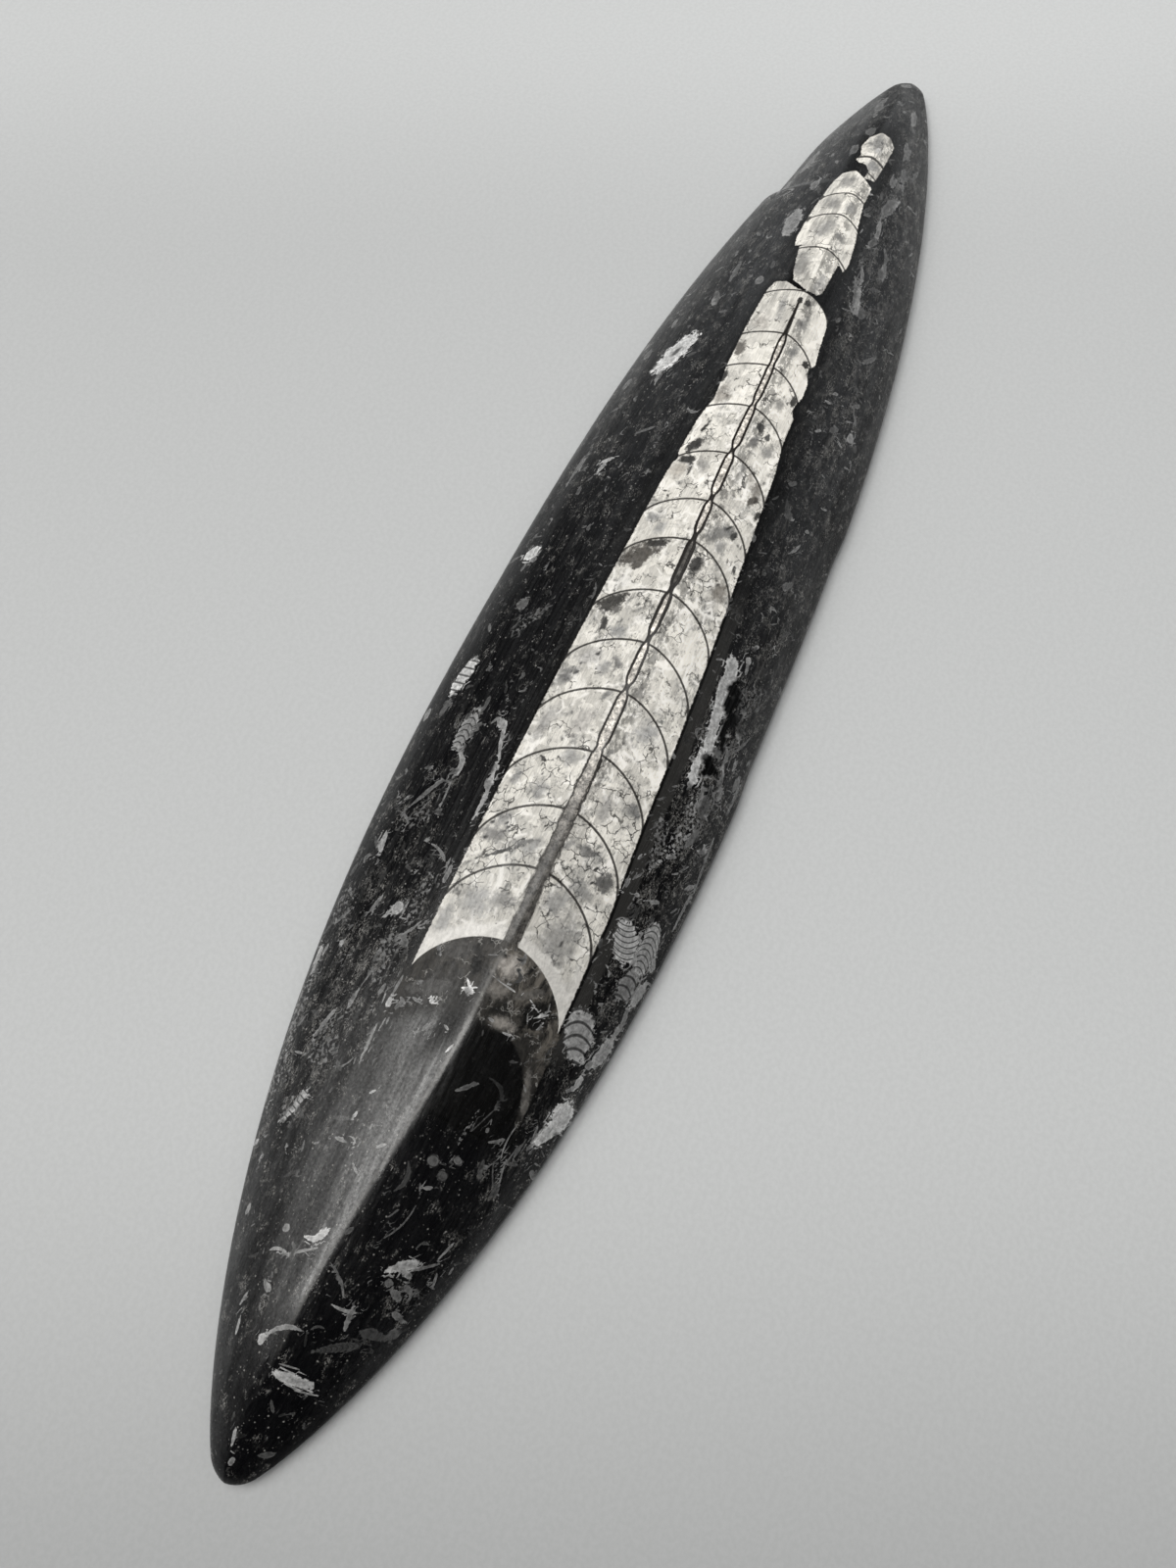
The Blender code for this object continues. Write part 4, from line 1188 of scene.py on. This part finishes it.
def shell_paint(pen, looks, at, stained, stain):
    """The shell: calcite, its chalk-white mouth, grey brushes beside the tube, stains, walls and tube."""
    calcite = calcite_paint(pen, looks, at)
    white = white_mouth(pen, at)
    chalky = pen.step(pen.noise(pen.laid(at.spot, (0.8, 1.2, 1)), 0.9, 5, 0.75), 0.3, 0.7, 0.78, 1.16)
    calcite = pen.over(calcite, pen.scaled(pen.shade(0.83), chalky), white, 0.85)
    brushes = pen.step(pen.noise(pen.laid(at.spot, (0.5, 0.9, 1), 2), 0.9, 4, 0.7), 0.43, 0.56)
    beside_tube = pen.times(pen.step(at.tube_off, -0.8, -1.2), pen.step(at.tube_off, -3.8, -2.6))
    calcite = pen.over(calcite, 0.33, beside_tube, brushes, pen.step(at.chamber, 1.0, 3.0), 0.66)
    calcite = pen.over(calcite, stain, stained, pen.math("SUBTRACT", 1.0, white))
    return shell_lines(pen, looks, at, calcite)


def keel_wear_and_sheen(pen, at):
    """How pale the keel is between the mouth and the near tip: a ragged line 1 mm wide, partly wear and partly
    a painted highlight where the keel catches the light.
    """
    wear_and_sheen = pen.step(pen.frayed(pen.unsigned(at.off_keel), at.fine, 0.8), 0.55, 0.0)
    both_ends = pen.times(pen.step(at.chamber, 0.0, -0.4), pen.step(at.chamber, -6.7, -5.4))
    return pen.times(wear_and_sheen, both_ends, pen.step(at.chamber, -3.2, -1.8, 0.5, 1.0), 0.55)


def polish(pen, at, sawn, muddy):
    """The polish: roughness and a faint bump brushed lengthwise, and a gloss that is broken up.

    The gloss is lower towards the rim, beside the keel at the mouth, on the mud and at the near tip.
    """
    brushed = pen.noise(pen.laid(at.spot, (0.05, 1.8, 1.8)), 1.0, 4, 0.6)
    pen.set_finish("Roughness", pen.blend(sawn, pen.step(brushed, 0.3, 0.7, 0.20, 0.36), 0.8))
    broad = pen.noise(pen.laid(at.spot, (0.03, 0.45, 0.45), shift=(0, 5, 0)), 1.0, 4, 0.65)
    grit = pen.noise(at.spot, 0.45, 4, 0.8)
    gloss = pen.times(pen.step(broad, 0.3, 0.7, 0.32, 0.82), pen.step(grit, 0.3, 0.7, 0.55, 1.45))
    rim_top = pen.step(at.off_keel, -7.0, 0.0, 8.0, 6.0)
    off_rim = pen.step(at.height, RIM_HEIGHT, rim_top, pen.step(at.off_keel, -7.0, 0.0, 0.18, 0.45), 1.0)
    dull = pen.step(pen.unsigned(pen.math("SUBTRACT", at.off_keel, 2.4)), 2.6, 1.2)
    dull = pen.times(dull, pen.step(at.chamber, -2.3, -1.5), 0.75)
    dull = pen.math("MAXIMUM", dull, pen.times(muddy, 0.6))
    near_tip = pen.step(at.chamber, -7.2, -5.6, 0.5, 1.0)
    before_mouth = pen.step(at.chamber, -1.6, 0.4, 1.25, 0.80)
    gloss = pen.times(gloss, off_rim, pen.math("SUBTRACT", 1.0, dull), near_tip, before_mouth)
    pen.set_finish("Specular IOR Level", gloss)
    bump = pen.node("ShaderNodeBump")
    pen.feed(bump.inputs["Height"], brushed)
    pen.feed(bump.inputs["Strength"], 0.25)
    pen.feed(bump.inputs["Distance"], BRUSH_DEPTH * MM)
    pen.set_finish("Normal", bump.outputs[0])


def polished_limestone(looks):
    """Black limestone with the calcite shell and the small fossils in it, polished to a satin gloss.

    Rock, small fossils, mud and shell are laid over one another, each where its field says, and the base is
    sawn.
    """
    material = bpy.data.materials.new("polished_fossil_limestone")
    pen = Pen(material, looks.hue)
    at = read_stone(pen)
    stained, stain = stain_paint(pen, looks, at)

    colour = relic_paint(pen, at, beside_shell(pen, at, rock_paint(pen, looks, at)))
    mud = pen.over(mud_paint(pen, looks, at), stain, stained, pen.step(at.chamber, 0.0, -0.05))
    mud_soft = pen.step(at.off_keel, -5.5, -3.0, 0.2, 1.3)
    muddy = pen.step(pen.frayed(at.mud, at.mottle, 1.2), pen.times(mud_soft, -1.0), mud_soft)
    muddy = pen.times(muddy, pen.step(at.chamber, 0.05, -0.02))
    colour = pen.over(colour, relic_paint(pen, at, mud), muddy)
    # A pale line along the keel, partly wear and partly a painted highlight
    colour = pen.over(colour, 0.45, keel_wear_and_sheen(pen, at))
    in_shell = pen.step(pen.frayed(at.shell, at.fine, 0.5), -0.08, 0.08)
    past_mouth = pen.step(pen.times(at.chamber, 10.0), -0.1, 0.1)
    colour = pen.over(colour, shell_paint(pen, looks, at, stained, stain), in_shell, past_mouth)
    sawn = pen.step(at.height, SAWN_TOP, SAWN_TOP / 3)
    pen.set_finish("Base Color", pen.over(colour, opaque(looks.sawn), sawn))
    polish(pen, at, sawn, muddy)
    return material


COLOUR = {"subtype": "COLOR", "size": 3, "min": 0, "max": 1}
LENGTH = {"subtype": "DISTANCE", "unit": "LENGTH"}
ANGLE = {"subtype": "ANGLE", "unit": "ROTATION"}
BRIGHTNESS = {"min": 0, "max": 50}


class FossilLooks(bpy.types.PropertyGroup):
    """Colours and finish of the stone."""

    rock: bpy.props.FloatVectorProperty(
        name="Black limestone", description="Colour of the rock",
        default=(0.0022, 0.0022, 0.0028), **COLOUR,
    )
    rock_fleck: bpy.props.FloatVectorProperty(
        name="Grey limestone", description="Colour of the paler mottles in the rock",
        default=(0.042, 0.043, 0.045), **COLOUR,
    )
    sawn: bpy.props.FloatVectorProperty(
        name="Sawn base", description="Colour of the matt sawn underside",
        default=(0.035, 0.035, 0.036), **COLOUR,
    )
    calcite: bpy.props.FloatVectorProperty(
        name="Calcite", description="Colour of the white calcite",
        default=(0.76, 0.735, 0.68), **COLOUR,
    )
    glassy: bpy.props.FloatVectorProperty(
        name="Glassy calcite", description="Colour of the clear calcite",
        default=(0.34, 0.335, 0.32), **COLOUR,
    )
    wall: bpy.props.FloatVectorProperty(
        name="Chamber walls", description="Colour of the shell's walls",
        default=(0.020, 0.0175, 0.0155), **COLOUR,
    )
    mud: bpy.props.FloatVectorProperty(
        name="Mud", description="Colour of the hardened mud in the open chamber",
        default=(0.17, 0.155, 0.135), **COLOUR,
    )
    stain: bpy.props.FloatVectorProperty(
        name="Stain hue", description="Hue of the brown stains in the calcite",
        default=(1.0, 0.87, 0.72), **COLOUR,
    )
    hue: bpy.props.FloatVectorProperty(
        name="Calcite hue", description="Hue of the bright and dark marks in the calcite",
        default=(1.0, 0.975, 0.93), **COLOUR,
    )
    # Painted light: how much whiter the calcite is painted on the -Y side of the tube, where the flank gets
    # less light
    off_side_painted_light: bpy.props.FloatProperty(
        name="Off side", description="How much whiter the calcite is on the -Y side of the tube",
        default=1.24, min=0.5, max=1.5,
    )
    wall_width: bpy.props.FloatProperty(
        name="Wall width", description="Width of a wall's line",
        default=0.00038, min=0.0001, max=0.001, **LENGTH,
    )


class StudioLooks(bpy.types.PropertyGroup):
    """Camera, lamps and floor."""

    distance: bpy.props.FloatProperty(
        name="Camera distance", description="From the camera to the point it looks at",
        default=0.2039, min=0.05, max=5, **LENGTH,
    )
    turn: bpy.props.FloatProperty(
        name="Camera turn", description="Direction of view, from +X towards +Y",
        default=0.42507, min=-3.15, max=3.15, **ANGLE,
    )
    pitch: bpy.props.FloatProperty(
        name="Camera pitch", description="How steeply the camera looks down",
        default=1.20775, min=0, max=1.57, **ANGLE,
    )
    target: bpy.props.FloatVectorProperty(
        name="Camera target", description="The point on the floor that the camera looks at",
        default=(-0.03149, -0.00278, 0.0), size=3, subtype="XYZ", unit="LENGTH",
    )
    lens: bpy.props.FloatProperty(
        name="Lens", description="Focal length on a frame 36 mm long",
        default=27.0, min=5, max=200,
    )
    floor: bpy.props.FloatVectorProperty(
        name="Floor", description="Colour of the floor",
        default=(0.609, 0.622, 0.630), **COLOUR,
    )
    # Painted shade on the floor nearest the camera: the share of its brightness that is left there
    near_painted_shade: bpy.props.FloatProperty(
        name="Near shade", description="Share of the floor's brightness left nearest the camera",
        default=0.565, min=0, max=1,
    )
    key: bpy.props.FloatProperty(
        name="Key panel", description="Brightness of the soft panel on the +Y side",
        default=2.3, **BRIGHTNESS,
    )
    overhead: bpy.props.FloatProperty(
        name="Overhead panel", description="Brightness of the soft panel overhead",
        default=2.6, **BRIGHTNESS,
    )
    fill: bpy.props.FloatProperty(
        name="Fill panel", description="Brightness of the fill on the -Y side",
        default=0.35, **BRIGHTNESS,
    )
    far: bpy.props.FloatProperty(
        name="Far panel", description="Brightness of the panel past the +X end",
        default=0.32, **BRIGHTNESS,
    )
    surround: bpy.props.FloatProperty(
        name="Surround", description="Brightness of the room all round",
        default=0.025, min=0, max=10,
    )


class FOSSIL_OT_build_stone(bpy.types.Operator):
    """Make the polished stone, with the fields and the shader that show the shell in it"""

    bl_idname = "fossil.build_stone"
    bl_label = "Polished stone"

    def execute(self, context):
        points, quads, triangles = stone_grid()
        stone = new_mesh("polished_stone", points, quads, triangles)
        x, y = points[:, 0], points[:, 1]
        fields = shell_fields(x, y)
        fields.update(stain_fields(x, y, fields["chamber"]))
        fields.update(rock_fields(x, y))
        fields.update(relic_fields(x, y))
        add_fields(stone.data, fields)
        stone.data.materials.append(polished_limestone(context.scene.fossil_looks))
        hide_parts(STONE_NODE)
        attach(stone, "root")
        return {"FINISHED"}


def place_on_stage(name, data, place=(0.0, 0.0, 0.0)):
    """A new object in the scene, at a place in metres."""
    obj = bpy.data.objects.new(name, data)
    obj.location = place
    bpy.context.scene.collection.objects.link(obj)
    return obj


def turn_to(obj, target):
    """Turns a camera or lamp to look at a target, upright."""
    obj.rotation_mode = "QUATERNION"
    obj.rotation_quaternion = (Vector(target) - obj.location).to_track_quat("-Z", "Y")


def direction(turn, height):
    """A unit step at a turn from +X towards +Y and a height above level, both in radians."""
    level = math.cos(height)
    return Vector((math.cos(turn) * level, math.sin(turn) * level, math.sin(height)))


def panel_lamp(name, turn, height, distance, wide, tall, brightness, tint):
    """A soft rectangular lamp that looks at the stone.

    Its turn and height are in degrees, its distance in metres, and its width and height are given as the
    angles that they span. Its power is four times its area times its brightness.
    """
    lamp = bpy.data.lights.new(name, "AREA")
    lamp.shape = "RECTANGLE"
    lamp.size = 2 * distance * math.tan(math.radians(wide) / 2)
    lamp.size_y = 2 * distance * math.tan(math.radians(tall) / 2)
    lamp.energy = 4 * lamp.size * lamp.size_y * brightness
    lamp.color = tint
    obj = place_on_stage(name, lamp, direction(math.radians(turn), math.radians(height)) * distance)
    turn_to(obj, (0.0, 0.0, 0.0))
    return obj


def pale_table(studio):
    """The floor's matt paint, with painted shade near the camera, painted light past the stone and painted
    shade across the view.
    """
    paper = bpy.data.materials.new("pale_table")
    pen = Pen(paper)
    place = pen.node("ShaderNodeTexCoord").outputs["Object"]
    away = pen.toward(place, (math.cos(studio.turn), math.sin(studio.turn), 0.0))
    across = pen.toward(place, (-math.sin(studio.turn), math.cos(studio.turn), 0.0))
    # Painted shade near the camera and across the view, and painted light past the stone
    shaded = pen.times(
        pen.step(away, *NEAR_PAINTED_SHADE_RUN, studio.near_painted_shade, 1.0),
        pen.step(away, *FAR_PAINTED_LIGHT_RUN, 1.0, FAR_PAINTED_LIGHT),
        pen.step(across, *ACROSS_RUN, *ACROSS_PAINTED_SHADE),
    )
    grain = pen.step(pen.noise(place, PAPER_GRAIN, 2, 0.6), 0.3, 0.7, 0.97, 1.03)
    pen.set_finish("Base Color", pen.scaled(studio.floor, pen.times(shaded, grain)))
    pen.set_finish("Roughness", PAPER_ROUGHNESS)
    return paper


class FOSSIL_OT_set_stage(bpy.types.Operator):
    """Lay the pale floor and set the lamps and the camera"""

    bl_idname = "fossil.set_stage"
    bl_label = "Studio stage"

    def execute(self, context):
        studio = context.scene.studio_looks
        reach = FLOOR_REACH
        floor_mesh = bpy.data.meshes.new("studio_floor")
        corners = [(-reach, -reach, 0), (reach, -reach, 0), (reach, reach, 0), (-reach, reach, 0)]
        floor_mesh.from_pydata(corners, [], [(0, 1, 2, 3)])
        floor_mesh.materials.append(pale_table(studio))
        floor = place_on_stage("studio_floor", floor_mesh)

        for *shape, whose, share, tint in PANELS:
            lamp = panel_lamp(*shape, getattr(studio, whose) * share, tint)
            lamp.visible_glossy = whose != "fill"
        world = bpy.data.worlds.new("studio_room")
        world.use_nodes = True
        backdrop = world.node_tree.nodes["Background"]
        backdrop.inputs["Color"].default_value = ROOM
        backdrop.inputs["Strength"].default_value = studio.surround
        context.scene.world = world

        lens = bpy.data.cameras.new("camera")
        lens.lens = studio.lens
        lens.sensor_width = FRAME_LENGTH
        lens.clip_start = NEAREST_SEEN
        target = Vector(studio.target)
        view = direction(studio.turn, -studio.pitch)
        camera = place_on_stage("camera", lens, target - view * studio.distance)
        turn_to(camera, target)
        context.scene.camera = camera
        context.scene.view_settings.view_transform = "Standard"
        return {"FINISHED"}


class FOSSIL_PT_panel(bpy.types.Panel):
    """Lists what can be made and changed"""

    bl_idname = "FOSSIL_PT_panel"
    bl_label = "Orthoceras fossil"
    bl_space_type = "VIEW_3D"
    bl_region_type = "UI"
    bl_category = "Fossil"

    def draw(self, context):
        layout = self.layout
        for group in (context.scene.fossil_looks, context.scene.studio_looks):
            box = layout.box()
            for name in group.__annotations__:
                box.prop(group, name)
        for operator in OPERATORS:
            layout.operator(operator.bl_idname)


OPERATORS = (FOSSIL_OT_build_stone, FOSSIL_OT_set_stage)
CLASSES = (FossilLooks, StudioLooks) + OPERATORS + (FOSSIL_PT_panel,)


def register():
    """Registers the classes and hangs the two groups of looks on the scene."""
    for cls in CLASSES:
        bpy.utils.register_class(cls)
    bpy.types.Scene.fossil_looks = bpy.props.PointerProperty(type=FossilLooks)
    bpy.types.Scene.studio_looks = bpy.props.PointerProperty(type=StudioLooks)


def unregister():
    """Takes the looks off the scene and the classes out again."""
    del bpy.types.Scene.studio_looks
    del bpy.types.Scene.fossil_looks
    for cls in reversed(CLASSES):
        bpy.utils.unregister_class(cls)


def main():
    """Makes everything in order."""
    register()
    bpy.ops.fossil.build_stone()
    bpy.ops.fossil.set_stage()


if __name__ == "__main__":
    main()
